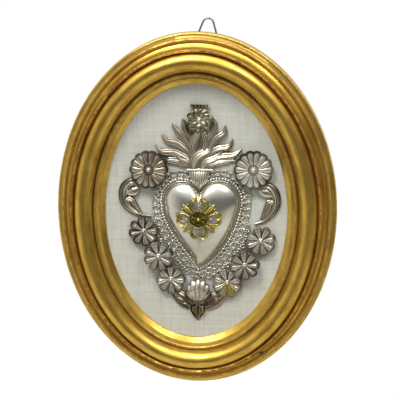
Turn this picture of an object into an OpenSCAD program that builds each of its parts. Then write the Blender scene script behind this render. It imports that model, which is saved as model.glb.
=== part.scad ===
// Oval gilt frame with a silver sacred-heart ex-voto pinned on stretched linen, hung from a wire triangle.
// The frame's front faces -Y and its back lies in the plane Y = 0. The origin is the nail's point on the
// wall.

/* [Frame] */
// Linen left bare beside the ex-voto, each side
linen_side = 7.25; // [5.5:0.25:20]
// Linen left bare above and below the ex-voto
linen_ends = 13; // [9:0.5:30]
// Width of the moulding from the sight edge to its back edge
moulding_w = 33.5; // [30:0.5:42]
// Height of the moulding's round crown above the back
moulding_d = 22.4; // [20:0.1:28]
// Width of the lip that the linen bears against
rebate_lip = 3; // [2:0.5:5]
// Depth of the rebate behind the lip
rebate_d = 8.6; // [8:0.1:10]

/* [Mount] */
// Play of the boards in the rebate, each side
board_play = 0.3; // [0.1:0.05:0.6]
// Thickness of the linen
linen_t = 0.5; // [0.3:0.1:0.8]
// Thickness of the mount board
mount_t = 2.6; // [2:0.1:3]
// Thickness of the backing board
backing_t = 3; // [2:0.1:3.2]
// Width of the linen turned over the back of the mount board
turn_w = 12; // [6:1:18]
// Diameter of a brad
brad_d = 1.2; // [0.8:0.1:1.5]
// Length of a brad
brad_len = 12; // [9:0.5:14]
// Number of brads
brad_count = 8; // [6:2:12]

/* [Hanger] */
// Distance of the hanger from the frame's middle line
hanger_x = 6.9; // [0:0.1:12]
// Width of the hanger plate
plate_w = 14; // [12:0.5:18]
// Wood left between the hanger plate and the rebate
plate_margin = 2; // [1.5:0.1:4]
// Thickness of the hanger plate
plate_t = 0.8; // [0.6:0.1:1]
// Diameter of the hanger wire
wire_d = 1.3; // [1:0.1:1.6]
// Width of the wire triangle at its base, between wire centres
wire_base = 19; // [17:0.5:22]
// Height of the wire triangle, from the barrel to the nail
wire_rise = 19; // [17:0.5:22]
// Lean of the triangle's top to the right
wire_lean = 2.2; // [0:0.1:3]
// Radius of the wire triangle's rounded top
wire_top_r = 3.6; // [3:0.1:4.5]
// Radius of the wire triangle's lower corners
wire_corner_r = 1.8; // [1.5:0.1:2.2]
// Drop from the frame's top edge to the barrel
barrel_drop = 11; // [9:0.5:14]
// Running clearance of the wire in its barrel
wire_gap = 0.08; // [0.04:0.01:0.1]
// Diameter of a hanger screw's shank
screw_d = 2.2; // [1.8:0.1:2.6]
// Length of a hanger screw
screw_len = 9; // [7:0.5:11]

/* [Ex-voto] */
// Height of the ex-voto, from its tip to the top of its cross
votive_h = 150; // [140:1:170]
// Shift of the ex-voto to the right of the frame's middle
votive_shift = 2.6; // [0:0.1:3]
// Drop of the ex-voto below the frame's middle
votive_drop = 0.3; // [0:0.1:3]
// Thickness of the silver sheet
sheet_t = 0.8; // [0.6:0.1:1]
// Rise of the heart's dome above its flange
dome_rise = 8.4; // [6:0.1:9]
// Width of the heart's flange
flange_w = 2.4; // [1.6:0.1:3.2]
// Diameter of a soldered grain
grain_d = 2; // [1.6:0.1:2.2]
// Width of the filigree border beside the heart's lobes
border_w = 9.6; // [9:0.1:11]
// Width of the filigree border under the flowers
border_low_w = 17.5; // [16.5:0.1:18.5]
// Diameter of the border's large eyelets
eyelet_d = 3; // [2.4:0.1:3.4]
// Radius of the two large rosettes
rosette_r = 13.1; // [12:0.1:13.6]
// Rise of the large rosettes
rosette_rise = 3.6; // [2.5:0.1:4.5]
// Radius of the flowers
flower_r = 10.6; // [9.5:0.1:11]
// Rise of the flowers
flower_rise = 2.4; // [1.6:0.1:3]
// Radius of the brass rosette on the cross
cross_rosette_r = 8.3; // [7.5:0.1:8.8]
// Diameter of the pins that hold the ex-voto
pin_d = 1.2; // [1:0.1:1.4]
// Clearance round the pins
pin_gap = 0.05; // [0.02:0.01:0.1]

/* [Hidden] */

$fn = 48;
overrun = 1;

// Levels, as heights above the wall plane
linen_top = rebate_d;
board_top = linen_top - linen_t;
board_back = board_top - mount_t;
turn_back = board_back - linen_t;
backing_back = turn_back - backing_t;
sheet_top = linen_top + sheet_t;
flange_top = sheet_top + sheet_t;
dome_top = flange_top + dome_rise;

// Oval sizes. The sight opening is as large as the ex-voto and the bare linen round it.
votive_wide_share = 73;
sight_w = votive_h * votive_wide_share / 100 + 2 * linen_side;
sight_h = votive_h + 2 * linen_ends;
rebate_half = [sight_w / 2 + rebate_lip, sight_h / 2 + rebate_lip];
board_half = rebate_half - [board_play, board_play] - [linen_t, linen_t];
backing_half = rebate_half - [board_play, board_play];
outer_half = [sight_w / 2 + moulding_w, sight_h / 2 + moulding_w];
oval_steps = 80;
board_steps = 72;

// Hanger
plate_h = moulding_w - rebate_lip - barrel_drop - plate_margin;
barrel_r = wire_d / 2 + wire_gap;
barrel_outer_r = barrel_r + plate_t;
pocket_gap = 0.5;
barrel_level = barrel_outer_r + wire_gap;
pocket_level = barrel_level + barrel_outer_r;
// The plate leaves the barrel a little inside its round
plate_level = pocket_level - plate_t / 4;
hanger_top = outer_half[1] * sqrt(1 - pow(hanger_x / outer_half[0], 2));
barrel_z = hanger_top - barrel_drop;
nail_x = hanger_x + wire_lean;
nail_z = barrel_z + wire_rise;
plate_hole_shares = [0.3, 0.6];
barrel_half = wire_base / 2 - wire_corner_r - wire_d - pocket_gap;

// The frame's middle, seen from the hanging point, with the picture's plane turned to face -Y
module face_on() {
    translate([-nail_x, 0, -nail_z])
        rotate([90, 0, 0])
            children();
}

function oval(half, n) = [for (i = [0:n - 1]) let(t = 360 * i / n) [half[0] * cos(t), half[1] * sin(t)]];

module oval_plate(half, thick, n = board_steps) {
    linear_extrude(thick)
        polygon(oval(half, n));
}

// Points of an elliptical arc, with centre and radii given as shares
function arc_shares(centre, radii, from, to, n) =
    [for (i = [0:n]) let(a = from + (to - from) * i / n) centre + [radii[0] * cos(a), radii[1] * sin(a)]];

// The moulding's section from the sight edge outwards, as shares of its width and crown height
section_shares = concat(
    [[0, 0.44], [0.1, 0.56], [0.11, 0.6]],
    arc_shares([0.175, 0.68], [0.035, 0.045], 170, 10, 2),
    [[0.218, 0.7]],
    arc_shares([0.415, 0.66], [0.19, 0.34], 165, 22, 6),
    [[0.605, 0.84], [0.63, 0.9], [0.65, 0.89]],
    arc_shares([0.81, 0.84], [0.15, 0.29], 190, 258, 3),
    arc_shares([0.83, 0.56], [0.035, 0.05], 120, 0, 2),
    [[0.9, 0.45]],
    arc_shares([0.94, 0.37], [0.045, 0.08], 100, -10, 2),
    [[1, 0.16]]);
moulding_section = concat(
    [[rebate_lip, rebate_d], [0, rebate_d]],
    [for (p = section_shares) [p[0] * moulding_w, p[1] * moulding_d]],
    [[moulding_w, 0], [rebate_lip, 0]]);

// An oval ring whose section is given as distance outside the sight edge and height
module oval_sweep(section, half, n) {
    m = len(section);
    points = [for (i = [0:n - 1]) let(t = 360 * i / n) for (s = section)
        [(half[0] + s[0]) * cos(t), (half[1] + s[0]) * sin(t), s[1]]];
    faces = [for (i = [0:n - 1]) for (j = [0:m - 1])
        let(k = (i + 1) % n, l = (j + 1) % m) [i * m + j, i * m + l, k * m + l, k * m + j]];
    polyhedron(points, faces);
}

module hanger_pocket() {
    pocket_w = wire_base + wire_d + 2 * pocket_gap + 2 * wire_lean;
    wire_depth = barrel_level + wire_d / 2 + pocket_gap;
    foot_room = 3.4 * wire_d;
    plate_pocket_w = max(plate_w, 2 * barrel_half) + 2 * pocket_gap;
    below = plate_h + pocket_gap;
    above = barrel_outer_r + pocket_gap;
    translate([hanger_x - pocket_w / 2, barrel_z - foot_room, -overrun])
        cube([pocket_w, foot_room + barrel_drop + moulding_w, wire_depth + overrun]);
    translate([hanger_x - plate_pocket_w / 2, barrel_z - below, -overrun])
        cube([plate_pocket_w, below + above, pocket_level + overrun]);
}

module screw_places() {
    for (s = plate_hole_shares)
        translate([hanger_x, barrel_z - s * plate_h, 0])
            children();
}

module brad_places() {
    for (i = [0:brad_count - 1]) {
        a = 360 * (i + 0.5) / brad_count;
        p = [backing_half[0] * cos(a), backing_half[1] * sin(a)];
        slope = atan2(backing_half[0] * sin(a), backing_half[1] * cos(a));
        translate([p[0], p[1], backing_back - brad_d / 2])
            rotate([0, 0, slope])
                children();
    }
}

module frame_moulding() {
    color("goldenrod")
        face_on()
            difference() {
                oval_sweep(moulding_section, [sight_w / 2, sight_h / 2], oval_steps);
                hanger_pocket();
                brad_places()
                    rotate([0, 90, 0])
                        cylinder(h = brad_len / 2, d = brad_d + 2 * pin_gap, $fn = 13);
                screw_places()
                    cylinder(h = plate_level + screw_len, d = screw_d + 2 * pin_gap, $fn = 16);
            }
}

module linen_cover() {
    color("gainsboro")
        face_on()
            difference() {
                translate([0, 0, turn_back])
                    oval_plate(board_half + [linen_t, linen_t], linen_top - turn_back);
                translate([0, 0, board_back])
                    oval_plate(board_half, mount_t);
                translate([0, 0, turn_back - overrun])
                    oval_plate(board_half - [turn_w, turn_w], linen_t + 2 * overrun);
                fixing_holes();
            }
}

module mount_board() {
    color("tan")
        face_on()
            difference() {
                translate([0, 0, board_back])
                    oval_plate(board_half, mount_t);
                fixing_holes();
            }
}

module backing_board() {
    color("saddlebrown")
        face_on()
            translate([0, 0, backing_back])
                oval_plate(backing_half, backing_t);
}

module backing_brads() {
    color("dimgray")
        face_on()
            brad_places()
                rotate([0, 90, 0])
                    translate([0, 0, -brad_len / 2])
                        cylinder(h = brad_len - pin_gap, d = brad_d, $fn = 16);
}

// Hanger: a folded plate whose barrel holds the triangle's base wire
module hanger_plate() {
    color("darkgoldenrod")
        face_on()
            difference() {
                union() {
                    translate([hanger_x - plate_w / 2, barrel_z - plate_h, plate_level - plate_t])
                        cube([plate_w, plate_h, plate_t]);
                    translate([hanger_x - barrel_half, barrel_z, barrel_level])
                        rotate([0, 90, 0])
                            cylinder(h = 2 * barrel_half, r = barrel_outer_r);
                }
                translate([hanger_x - barrel_half - overrun, barrel_z, barrel_level])
                    rotate([0, 90, 0])
                        cylinder(h = 2 * (barrel_half + overrun), r = barrel_r);
                screw_places()
                    cylinder(h = plate_level + overrun, d = screw_d + 2 * pin_gap);
            }
}

module hanger_screws() {
    head_r = screw_d * 0.95;
    head_h = screw_d / 2;
    color("silver")
        face_on()
            screw_places()
                translate([0, 0, plate_level - plate_t])
                    rotate_extrude()
                        polygon([[0, -head_h], [head_r / 2, -head_h * 0.85], [head_r, 0], [screw_d / 2, 0],
                            [screw_d / 2, screw_len - screw_d], [0, screw_len]]);
}

// The triangle's corners, then each corner's arc radius. The top corner is raised, step by step, until the
// inside of its round bend meets the nail point.
wire_feet = [[-wire_base / 2, 0], [wire_base / 2, 0]];
function unit(v) = v / norm(v);
function top_corner(turns, raise = 0) =
    let(p = [wire_lean, wire_rise + wire_d / 2 + raise],
        half = acos(unit(wire_feet[0] - p) * unit(wire_feet[1] - p)) / 2)
    turns == 0 ? p : top_corner(turns - 1, wire_top_r / sin(half) - wire_top_r);
wire_points = concat(wire_feet, [top_corner(24)]);
wire_radii = [wire_corner_r, wire_corner_r, wire_top_r];
function bend(i) =
    let(p = wire_points[i], a = unit(wire_points[(i + 1) % 3] - p), b = unit(wire_points[(i + 2) % 3] - p),
        half = acos(a * b) / 2, centre = p + unit(a + b) * wire_radii[i] / sin(half),
        back = atan2(p[1] - centre[1], p[0] - centre[0]))
    [p + a * wire_radii[i] / tan(half), p + b * wire_radii[i] / tan(half), centre, back, 90 - half];

// The wire draws thinner where it bends, and each bend runs on into its straights by this angle
bend_share = 0.985;
bend_lap = 0.5;
module hanger_wire() {
    color("slategray")
        face_on()
            translate([hanger_x, barrel_z, barrel_level])
                for (i = [0:2]) {
                    here = bend(i);
                    next = bend((i + 1) % 3);
                    run = next[1] - here[0];
                    translate([here[0][0], here[0][1], 0])
                        rotate([0, 0, atan2(run[1], run[0])])
                            rotate([0, 90, 0])
                                cylinder(h = norm(run), d = wire_d);
                    translate([here[2][0], here[2][1], 0])
                        rotate([0, 0, here[3] - here[4] - bend_lap])
                            rotate_extrude(angle = 2 * (here[4] + bend_lap))
                                translate([wire_radii[i], 0])
                                    circle(d = wire_d * bend_share);
                }
}

// Ex-voto. Its places are shares, in hundredths of its height, from its own middle.
votive_mid = [votive_shift, -votive_drop];
function spot(share) = votive_mid + share * votive_h / 100;
function spots(shares) = [for (s = shares) spot(s)];

rosette_shares = [[-22.3, 20.8], [24.3, 21.1]];
flower_shares = [[-25.3, -7.9], [-18.5, -19.1], [-13.1, -30.4], [27.8, -11.5], [20.7, -22.5], [12.8, -31.4]];
cross_share = [0.3, 43];
palmette_share = [-0.5, -35.1];
pin_hole_d = pin_d + 2 * pin_gap;

module at_spot(share, level = 0) {
    p = spot(share);
    translate([p[0], p[1], level])
        children();
}

module fixing_holes() {
    for (s = concat(rosette_shares, [cross_share, palmette_share]))
        at_spot(s, turn_back - overrun)
            cylinder(h = linen_top - turn_back + 2 * overrun, d = pin_hole_d);
}

// The heart's fold line: two lobe arcs and two curved sides that meet at the tip
lobe_left_share = [-7.2, 6.3];
lobe_right_share = [8.3, 5.8];
lobe_left_r_share = 7.9;
lobe_right_r_share = 8.8;
tip_share = [-0.7, -23.2];
// Each side is a curve that two handles draw: out from the lobe, then in towards the tip
side_left_shares = [[-15.4, -3.2], [-4.4, -14.5]];
side_right_shares = [[14.2, -10], [4.6, -21.6]];
heart_mid_share = [0.3, -0.5];
// The lobes' circles cross at the cleft, where their arcs start and end
lobes_line = lobe_right_share - lobe_left_share;
function cleft_turn(here, other) =
    acos((here * here + lobes_line * lobes_line - other * other) / (2 * here * norm(lobes_line)));
lobes_tilt = atan2(lobes_line[1], lobes_line[0]);
cleft_left_angle = lobes_tilt + cleft_turn(lobe_left_r_share, lobe_right_r_share);
cleft_right_angle = 180 + lobes_tilt - cleft_turn(lobe_right_r_share, lobe_left_r_share);
lobe_left_angle = 200;
lobe_right_angle = -5;
lobe_steps = 12;
side_steps = 10;

function on_arc(centre, r, a) = centre + [r * cos(a), r * sin(a)];
function bow(a, handles, b, t) =
    pow(1 - t, 3) * a + 3 * t * pow(1 - t, 2) * handles[0] + 3 * t * t * (1 - t) * handles[1] + pow(t, 3) * b;
fold_shares = concat(
    [for (i = [0:lobe_steps]) on_arc(lobe_left_share, lobe_left_r_share,
        cleft_left_angle + (lobe_left_angle - cleft_left_angle) * i / lobe_steps)],
    [for (i = [1:side_steps]) bow(on_arc(lobe_left_share, lobe_left_r_share, lobe_left_angle),
        side_left_shares, tip_share, i / side_steps)],
    [for (i = [side_steps - 1:-1:0]) bow(on_arc(lobe_right_share, lobe_right_r_share, lobe_right_angle),
        side_right_shares, tip_share, i / side_steps)],
    [for (i = [1:lobe_steps - 1]) on_arc(lobe_right_share, lobe_right_r_share,
        lobe_right_angle + (cleft_right_angle - lobe_right_angle) * i / lobe_steps)]);
fold = spots(fold_shares);
heart_mid = spot(heart_mid_share);

function grow(path, d) = [for (p = path) let(v = p - heart_mid) p + unit(v) * d];
// The same, but where the path slants the growth is longer, so that it keeps its distance square to the path
function square_to(a, b) = let(t = unit(b - a)) [t[1], -t[0]];
function grow_square(path, d) =
    let(n = len(path))
    [for (i = [0:n - 1])
        let(v = unit(path[i] - heart_mid), before = v * square_to(path[(i + n - 1) % n], path[i]),
            after = v * square_to(path[i], path[(i + 1) % n]))
                path[i] + v * d / max(min(before, after), 0.5)];
// The border widens between the lobes and the flowers, and narrows again at the heart's tip
low_from_angle = 188;
low_to_angle = 352;
function border_at(p) =
    let(b = bearing(p - heart_mid), t = (b - low_from_angle) / (low_to_angle - low_from_angle))
    t <= 0 || t >= 1 ? border_w : border_w + (border_low_w - border_w) * pow(abs(sin(360 * t)), 0.4);
function grow_border(path, inset) = [for (p = path) p + unit(p - heart_mid) * (border_at(p) - inset)];
function bearing(v) = let(a = atan2(v[1], v[0])) a < 0 ? a + 360 : a;
fold_reach = [for (p = fold) [bearing(p - heart_mid), norm(p - heart_mid)]];
fold_wrap = [for (turn = [0, -360, 360]) for (r = fold_reach) [r[0] + turn, r[1]]];
function heart_part(p) = let(v = p - heart_mid) norm(v) / lookup(bearing(v), fold_wrap);
function dome_at(part) = part >= 1 ? 0 : pow(1 - pow(part, 2.6), 0.62);
function dome_level(p) = flange_top + dome_rise * dome_at(heart_part(p));

// Distances along a closed path, for pieces set out along it
function run_lengths(path, i = 0, sum = 0) =
    i > len(path) ? [] : concat([sum], run_lengths(path, i + 1,
        sum + norm(path[(i + 1) % len(path)] - path[i % len(path)])));
function along(path, runs, d) =
    let(i = len([for (r = runs) if (r <= d) 1]) - 1, k = min(i, len(path) - 1),
        t = (d - runs[k]) / (runs[k + 1] - runs[k]))
    path[k] + t * (path[(k + 1) % len(path)] - path[k]);
function set_out(path, pitch) =
    let(runs = run_lengths(path), total = runs[len(path)], n = floor(total / pitch))
    [for (i = [0:n - 1]) along(path, runs, total * (i + 0.5) / n)];

// Heart: a raised shell with a flat flange, open at its back
dome_parts = [1, 0.97, 0.9, 0.78, 0.6, 0.38, 0.16];
module heart_shell() {
    n = len(fold);
    flange = grow(fold, flange_w);
    outer = concat(
        [for (p = flange) [p[0], p[1], sheet_top]],
        [for (p = flange) [p[0], p[1], flange_top]],
        [for (s = dome_parts) for (p = fold) let(q = heart_mid + s * (p - heart_mid))
            [q[0], q[1], flange_top + dome_rise * dome_at(s)]]);
    inner = [for (s = dome_parts) for (p = fold)
        let(reach = norm(p - heart_mid), q = heart_mid + s * (1 - sheet_t / reach) * (p - heart_mid))
            [q[0], q[1], sheet_top + (dome_rise - sheet_t) * dome_at(s)]];
    rings = len(dome_parts) + 2;
    all_rings = rings + len(dome_parts);
    crown_top = [heart_mid[0], heart_mid[1], dome_top];
    crown_under = [heart_mid[0], heart_mid[1], dome_top - 2 * sheet_t];
    top_at = all_rings * n;
    under_at = top_at + 1;
    walls = [for (r = [0:rings - 2]) for (i = [0:n - 1])
        let(k = (i + 1) % n) [r * n + i, r * n + k, (r + 1) * n + k, (r + 1) * n + i]];
    cap = [for (i = [0:n - 1]) [(rings - 1) * n + i, (rings - 1) * n + (i + 1) % n, top_at]];
    hollow = [for (r = [rings:all_rings - 2]) for (i = [0:n - 1])
        let(k = (i + 1) % n) [r * n + k, r * n + i, (r + 1) * n + i, (r + 1) * n + k]];
    roof = [for (i = [0:n - 1]) [(all_rings - 1) * n + (i + 1) % n, (all_rings - 1) * n + i, under_at]];
    rim = [for (i = [0:n - 1]) let(k = (i + 1) % n) [k, i, rings * n + i, rings * n + k]];
    color("silver")
        face_on()
            polyhedron(concat(outer, inner, [crown_top, crown_under]),
                [for (f = concat(walls, cap, hollow, roof, rim)) [for (i = [len(f) - 1:-1:0]) f[i]]]);
}

// Grains: half balls soldered side by side on the border, round the flange
grain_gap = 0.15;
module heart_grains() {
    path = grow_square(grow(fold, flange_w), grain_d / 2 + grain_gap);
    color("silver")
        face_on()
            for (p = set_out(path, grain_d + grain_gap))
                translate([p[0], p[1], sheet_top])
                    intersection() {
                        sphere(d = grain_d, $fn = 24);
                        translate([-grain_d, -grain_d, 0])
                            cube([2 * grain_d, 2 * grain_d, grain_d]);
                    }
}

// Border: a scalloped band pierced with rows of eyelets, reaching under the flowers that it carries
scallop_depth = 0.9;
bridge = 0.8;
border_cleft = grow_border([fold[0]], 0)[0];
// Metal stays round the flowers' pins and in the border's cleft
function apart(p, places, reach) = min([for (q = places) norm(p - q)]) > reach;
module eyelets(places, d) {
    for (p = places)
        if (apart(p, spots(flower_shares), eyelet_d / 2 + pin_d + bridge)
            && apart(p, [border_cleft], d + bridge))
            translate([p[0], p[1], -overrun])
                cylinder(h = sheet_t + 2 * overrun, d = d, $fn = 16);
}

module filigree_border() {
    band = grow_border(fold, 0);
    runs = run_lengths(band);
    total = runs[len(band)];
    scallops = floor(total / (2 * eyelet_d));
    steps = 6;
    edge = [for (i = [0:scallops * steps - 1])
        let(p = along(band, runs, total * i / (scallops * steps)))
            p + unit(p - heart_mid) * scallop_depth * abs(sin(180 * i / steps))];
    inner_row = flange_w + grain_d + 2 * grain_gap + eyelet_d / 4 + bridge;
    middle_row = inner_row + eyelet_d * 3 / 4 + bridge;
    outer_inset = eyelet_d / 2 + bridge;
    outer_eyelets = set_out(grow_border(fold, outer_inset), 2 * eyelet_d);
    // Beside the lobes the small eyelets lie between the large ones
    between_eyelets = [for (i = [0:len(outer_eyelets) - 1])
        let(q = (outer_eyelets[i] + outer_eyelets[(i + 1) % len(outer_eyelets)]) / 2)
            if (border_at(q) - outer_inset - inner_row < eyelet_d / 2)
                q - unit(q - heart_mid) * (border_at(q) - outer_inset - inner_row)];
    middle_eyelets = [for (p = set_out(grow(fold, middle_row), 2 * eyelet_d))
        if (border_at(p) > middle_row + outer_inset + eyelet_d) p];
    inner_eyelets = [for (p = set_out(grow(fold, inner_row), 1.5 * eyelet_d))
        if (apart(p, concat(outer_eyelets, between_eyelets), eyelet_d * 3 / 4 + bridge)
            && apart(p, middle_eyelets, eyelet_d * 3 / 4 + bridge / 2)) p];
    color("silver")
        face_on()
            translate([0, 0, linen_top])
                difference() {
                    linear_extrude(sheet_t)
                        polygon(edge);
                    translate([0, 0, -overrun])
                        linear_extrude(sheet_t + 2 * overrun)
                            polygon(grow(fold, flange_w / 3));
                    eyelets(outer_eyelets, eyelet_d);
                    eyelets(middle_eyelets, eyelet_d);
                    eyelets(concat(between_eyelets, inner_eyelets), eyelet_d / 2);
                    for (f = flower_shares)
                        at_spot(f, -overrun)
                            cylinder(h = sheet_t + 2 * overrun, d = pin_hole_d);
                }
}

// A chased leaf: a line of points with a width at each, flat underneath, with a ridge along its middle
function blend4(a, b, c, d, t) =
    0.5 * (2 * b + (c - a) * t + (2 * a - 5 * b + 4 * c - d) * t * t + (3 * b - a - 3 * c + d) * t * t * t);
function smooth(v, steps) =
    let(n = len(v))
    concat([for (i = [0:n - 2]) for (k = [0:steps - 1])
        blend4(v[max(i - 1, 0)], v[i], v[i + 1], v[min(i + 2, n - 1)], k / steps)], [v[n - 1]]);

module leaf(points, widths, rise, bottom, edge, steps = 3, drape = 0) {
    path = smooth(points, steps);
    wide = smooth(widths, steps);
    n = len(path);
    widest = max(wide);
    sides = [for (i = [0:n - 1])
        let(v = unit(path[min(i + 1, n - 1)] - path[max(i - 1, 0)]), w = max(wide[i], 0.05 * widest) / 2)
            [path[i] + [-v[1], v[0]] * w, path[i], path[i] - [-v[1], v[0]] * w, w / widest * 2]];
    corners = [for (s = sides)
        let(lift = drape > 0 ? [for (k = [0:2]) dome_level(s[k]) + drape] : [bottom, bottom, bottom])
            concat([[s[0][0], s[0][1], lift[0]], [s[0][0], s[0][1], lift[0] + edge],
                [s[1][0], s[1][1], lift[1] + edge + rise * s[3]], [s[2][0], s[2][1], lift[2] + edge],
                [s[2][0], s[2][1], lift[2]]], drape > 0 ? [[s[1][0], s[1][1], lift[1]]] : [])];
    m = len(corners[0]);
    last = (n - 1) * m;
    tube = [for (i = [0:n - 2]) for (j = [0:m - 1])
        let(k = (j + 1) % m, a = i * m, b = a + m) each [[a + j, b + j, b + k], [a + j, b + k, a + k]]];
    ends = [for (j = [0:m - 3]) each [[m - 1, j, j + 1], [last + m - 1, last + j + 1, last + j]]];
    polyhedron([for (c = corners) each c], concat(tube, ends));
}

left_flame_shares = [
    [[-2.2, 21.7], [-6, 23.2], [-10.2, 24.4], [-13.4, 24.8], [-15.9, 24.9]],
    [[-1.6, 21.7], [-5.4, 25.4], [-11.1, 28.2], [-16.4, 28.5], [-19.3, 31.8]],
    [[-1, 21.8], [-4.4, 28.2], [-9.7, 32.5], [-14.1, 33.5], [-16.7, 36.5]],
    [[-0.5, 22], [-4.1, 30.9], [-7.7, 35.9], [-9.7, 38.2], [-12.1, 41.1]],
    [[0, 22], [-3.1, 32.9], [-5.7, 38.2], [-6.4, 40.9], [-7.3, 43.7]]];
right_flame_shares = [
    [[2.9, 21.7], [5, 22.8], [8.6, 24.4], [12.4, 24.9], [16.3, 24.9]],
    [[2.4, 21.7], [4.8, 24.6], [9.6, 26.7], [15.6, 27.5], [19.1, 30.3]],
    [[1.8, 21.8], [4.9, 27.5], [8.9, 30.2], [13.3, 31.2], [15.1, 34.7]],
    [[1.3, 22], [4.9, 30.9], [8.3, 34.9], [11.3, 37.2], [11.7, 40.7]],
    [[0.8, 22], [3.9, 32.9], [5.9, 36.9], [6.9, 40.9], [6.1, 44.7]]];
flame_width_shares = [1.6, 3, 3.2, 2.9, 0.3];
// The middle leaf starts as the tab that lies under the collar and the neck
middle_flame_shares = [[0.3, 20], [0.3, 21.8], [-0.2, 29.5], [0, 34.2], [0.3, 44]];
middle_width_shares = [7, 10, 7.6, 7.2, 4];
flame_rise = 1.7;
crest_t = flange_top - linen_top;
// Tongues and curls lie in turn a little off the linen, where they lap
lap = 0.13;
// Clearance between a piece and the curved or fluted one that it lies over or under
drape_gap = 0.25;

function shares_of_h(v) = v * votive_h / 100;

module flames(shares, first) {
    for (k = [0:len(shares) - 1])
        leaf(spots(shares[k]), shares_of_h(flame_width_shares), flame_rise, linen_top + lap * (first + k % 2),
            sheet_t, 2);
}

module flame_crest() {
    color("silver")
        face_on()
            difference() {
                union() {
                    flames(left_flame_shares, 1);
                    flames(right_flame_shares, 3);
                    leaf(spots(middle_flame_shares), shares_of_h(middle_width_shares), crest_t - sheet_t,
                        linen_top, sheet_t);
                }
                at_spot(cross_share)
                    cylinder(h = dome_top, d = pin_hole_d, $fn = 16);
            }
}

collar_share = [0.4, 20.7];
collar_d = 1.8;
collar_len_share = 12.4;
module neck_collar() {
    run = shares_of_h(collar_len_share) - collar_d;
    color("silver")
        face_on()
            at_spot(collar_share, flange_top + collar_d / 2)
                rotate([0, 90, 0])
                    rotate_extrude()
                        polygon(concat([[0, -run / 2 - collar_d / 2]],
                            [for (a = [-60:30:0]) [cos(a), sin(a)] * collar_d / 2 - [0, run / 2]],
                            [for (a = [0:30:60]) [cos(a), sin(a)] * collar_d / 2 + [0, run / 2]],
                            [[0, run / 2 + collar_d / 2]]));
}

// The neck starts under the collar and narrows to the heart's cleft
neck_shares = [[0.2, 17.6], [0.2, 15.2], [0.15, 12.6], [0.1, 10.8]];
neck_width_shares = [9.6, 9, 7.4, 3, 0.6];
neck_rise = 2.6;
neck_level = sheet_top + grain_d / 2;
module crest_neck() {
    top = spot(collar_share)[1] - collar_d / 2 - grain_gap;
    first = [spot(neck_shares[0])[0], top];
    color("silver")
        face_on()
            leaf(concat([first], spots(neck_shares)), shares_of_h(neck_width_shares), neck_rise, neck_level,
                sheet_t);
}

cross_reach_share = 7.1;
cross_wide_share = 4.2;
cross_narrow_share = 2.9;
cross_arm_share = 3.4;
cross_t = 1.3;
module cross_finial() {
    c = spot(cross_share);
    top = shares_of_h(cross_reach_share);
    wide = shares_of_h(cross_wide_share);
    narrow = shares_of_h(cross_narrow_share);
    arm = shares_of_h(cross_arm_share);
    color("darkkhaki")
        face_on()
            translate([c[0], c[1], flange_top])
                difference() {
                    linear_extrude(cross_t)
                        polygon([[-wide, top], [-narrow, narrow], [-arm, narrow], [-arm, -narrow],
                            [-narrow, -narrow], [-narrow, -arm], [narrow, -arm], [narrow, -narrow],
                            [arm, -narrow], [arm, narrow], [narrow, narrow], [wide, top]]);
                    translate([0, 0, -overrun])
                        cylinder(h = cross_t + 2 * overrun, d = pin_hole_d);
                }
}

// A stamped rosette: fluted petals round a pin hole, flat underneath. Its crown starts at the hub, swells
// outwards and falls again to the rim, and between two petals the rim draws in.
hub_share = 0.14;
crown_run_share = 0.72;
rim_notch_share = 0.07;
ring_shares = [0, 0.4, 0.8, 1];
function swell_at(i, steps) = abs(cos(180 * i / steps));
function crown_at(part) = sin(180 * (part * crown_run_share + hub_share));
function crown_level(rise, cup, part, swell = 1) =
    sheet_t + rise * crown_at(part) * (1 - cup + cup * swell * part);
module fluted_rosette(radius, petals, rise, steps, cup) {
    n = petals * steps;
    hole = pin_hole_d / 2;
    function edge_at(i) = radius * (1 - rim_notch_share * (1 - swell_at(i, steps)));
    function ring(part, i, z) =
        let(r = hole + (edge_at(i) - hole) * part) [r * cos(360 * i / n), r * sin(360 * i / n), z];
    upper = [for (part = ring_shares) [for (i = [0:n - 1])
        ring(part, i, crown_level(rise, cup, part, swell_at(i, steps)))]];
    under = [for (part = [1, 0]) [for (i = [0:n - 1]) ring(part, i, 0)]];
    all_rows = concat(upper, under);
    m = len(all_rows);
    faces = [for (j = [0:m - 1]) for (i = [0:n - 1])
        let(k = (i + 1) % n, l = (j + 1) % m) [j * n + i, l * n + i, l * n + k, j * n + k]];
    polyhedron([for (row = all_rows) each row], faces);
}

rosette_petals = 14;
rosette_cup = 0.35;
rosette_seat = linen_top + sheet_t + flame_rise + sheet_t / 2;
module rosette_left() {
    color("silver")
        face_on()
            at_spot(rosette_shares[0], rosette_seat)
                fluted_rosette(rosette_r, rosette_petals, rosette_rise, 3, rosette_cup);
}

module rosette_right() {
    color("silver")
        face_on()
            at_spot(rosette_shares[1], rosette_seat)
                fluted_rosette(rosette_r, rosette_petals, rosette_rise, 3, rosette_cup);
}

cross_rosette_seat = flange_top + cross_t;
cross_petals = 8;
cross_rosette_rise = 1.6;
cross_cup = 0.4;
module cross_rosette() {
    color("darkkhaki")
        face_on()
            at_spot(cross_share, cross_rosette_seat)
                fluted_rosette(cross_rosette_r, cross_petals, cross_rosette_rise, 4, cross_cup);
}

// A pin with a pearl head and, behind the board, a clenched foot
module pearl_pin(foot, seat, pearl_d, clench = 1) {
    shank = seat - foot;
    clench_r = pin_d / 2 * (1 + clench);
    translate([0, 0, foot])
        rotate_extrude()
            polygon(concat([[0, 0], [clench_r, 0], [clench_r, linen_t / 2], [pin_d / 2, linen_t / 2],
                [pin_d / 2, shank]],
                [for (a = [-30:30:60]) [pearl_d / 2 * cos(a), shank + pearl_d / 4 + pearl_d / 2 * sin(a)]],
                [[0, shank + pearl_d * 0.75]]));
}

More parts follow.
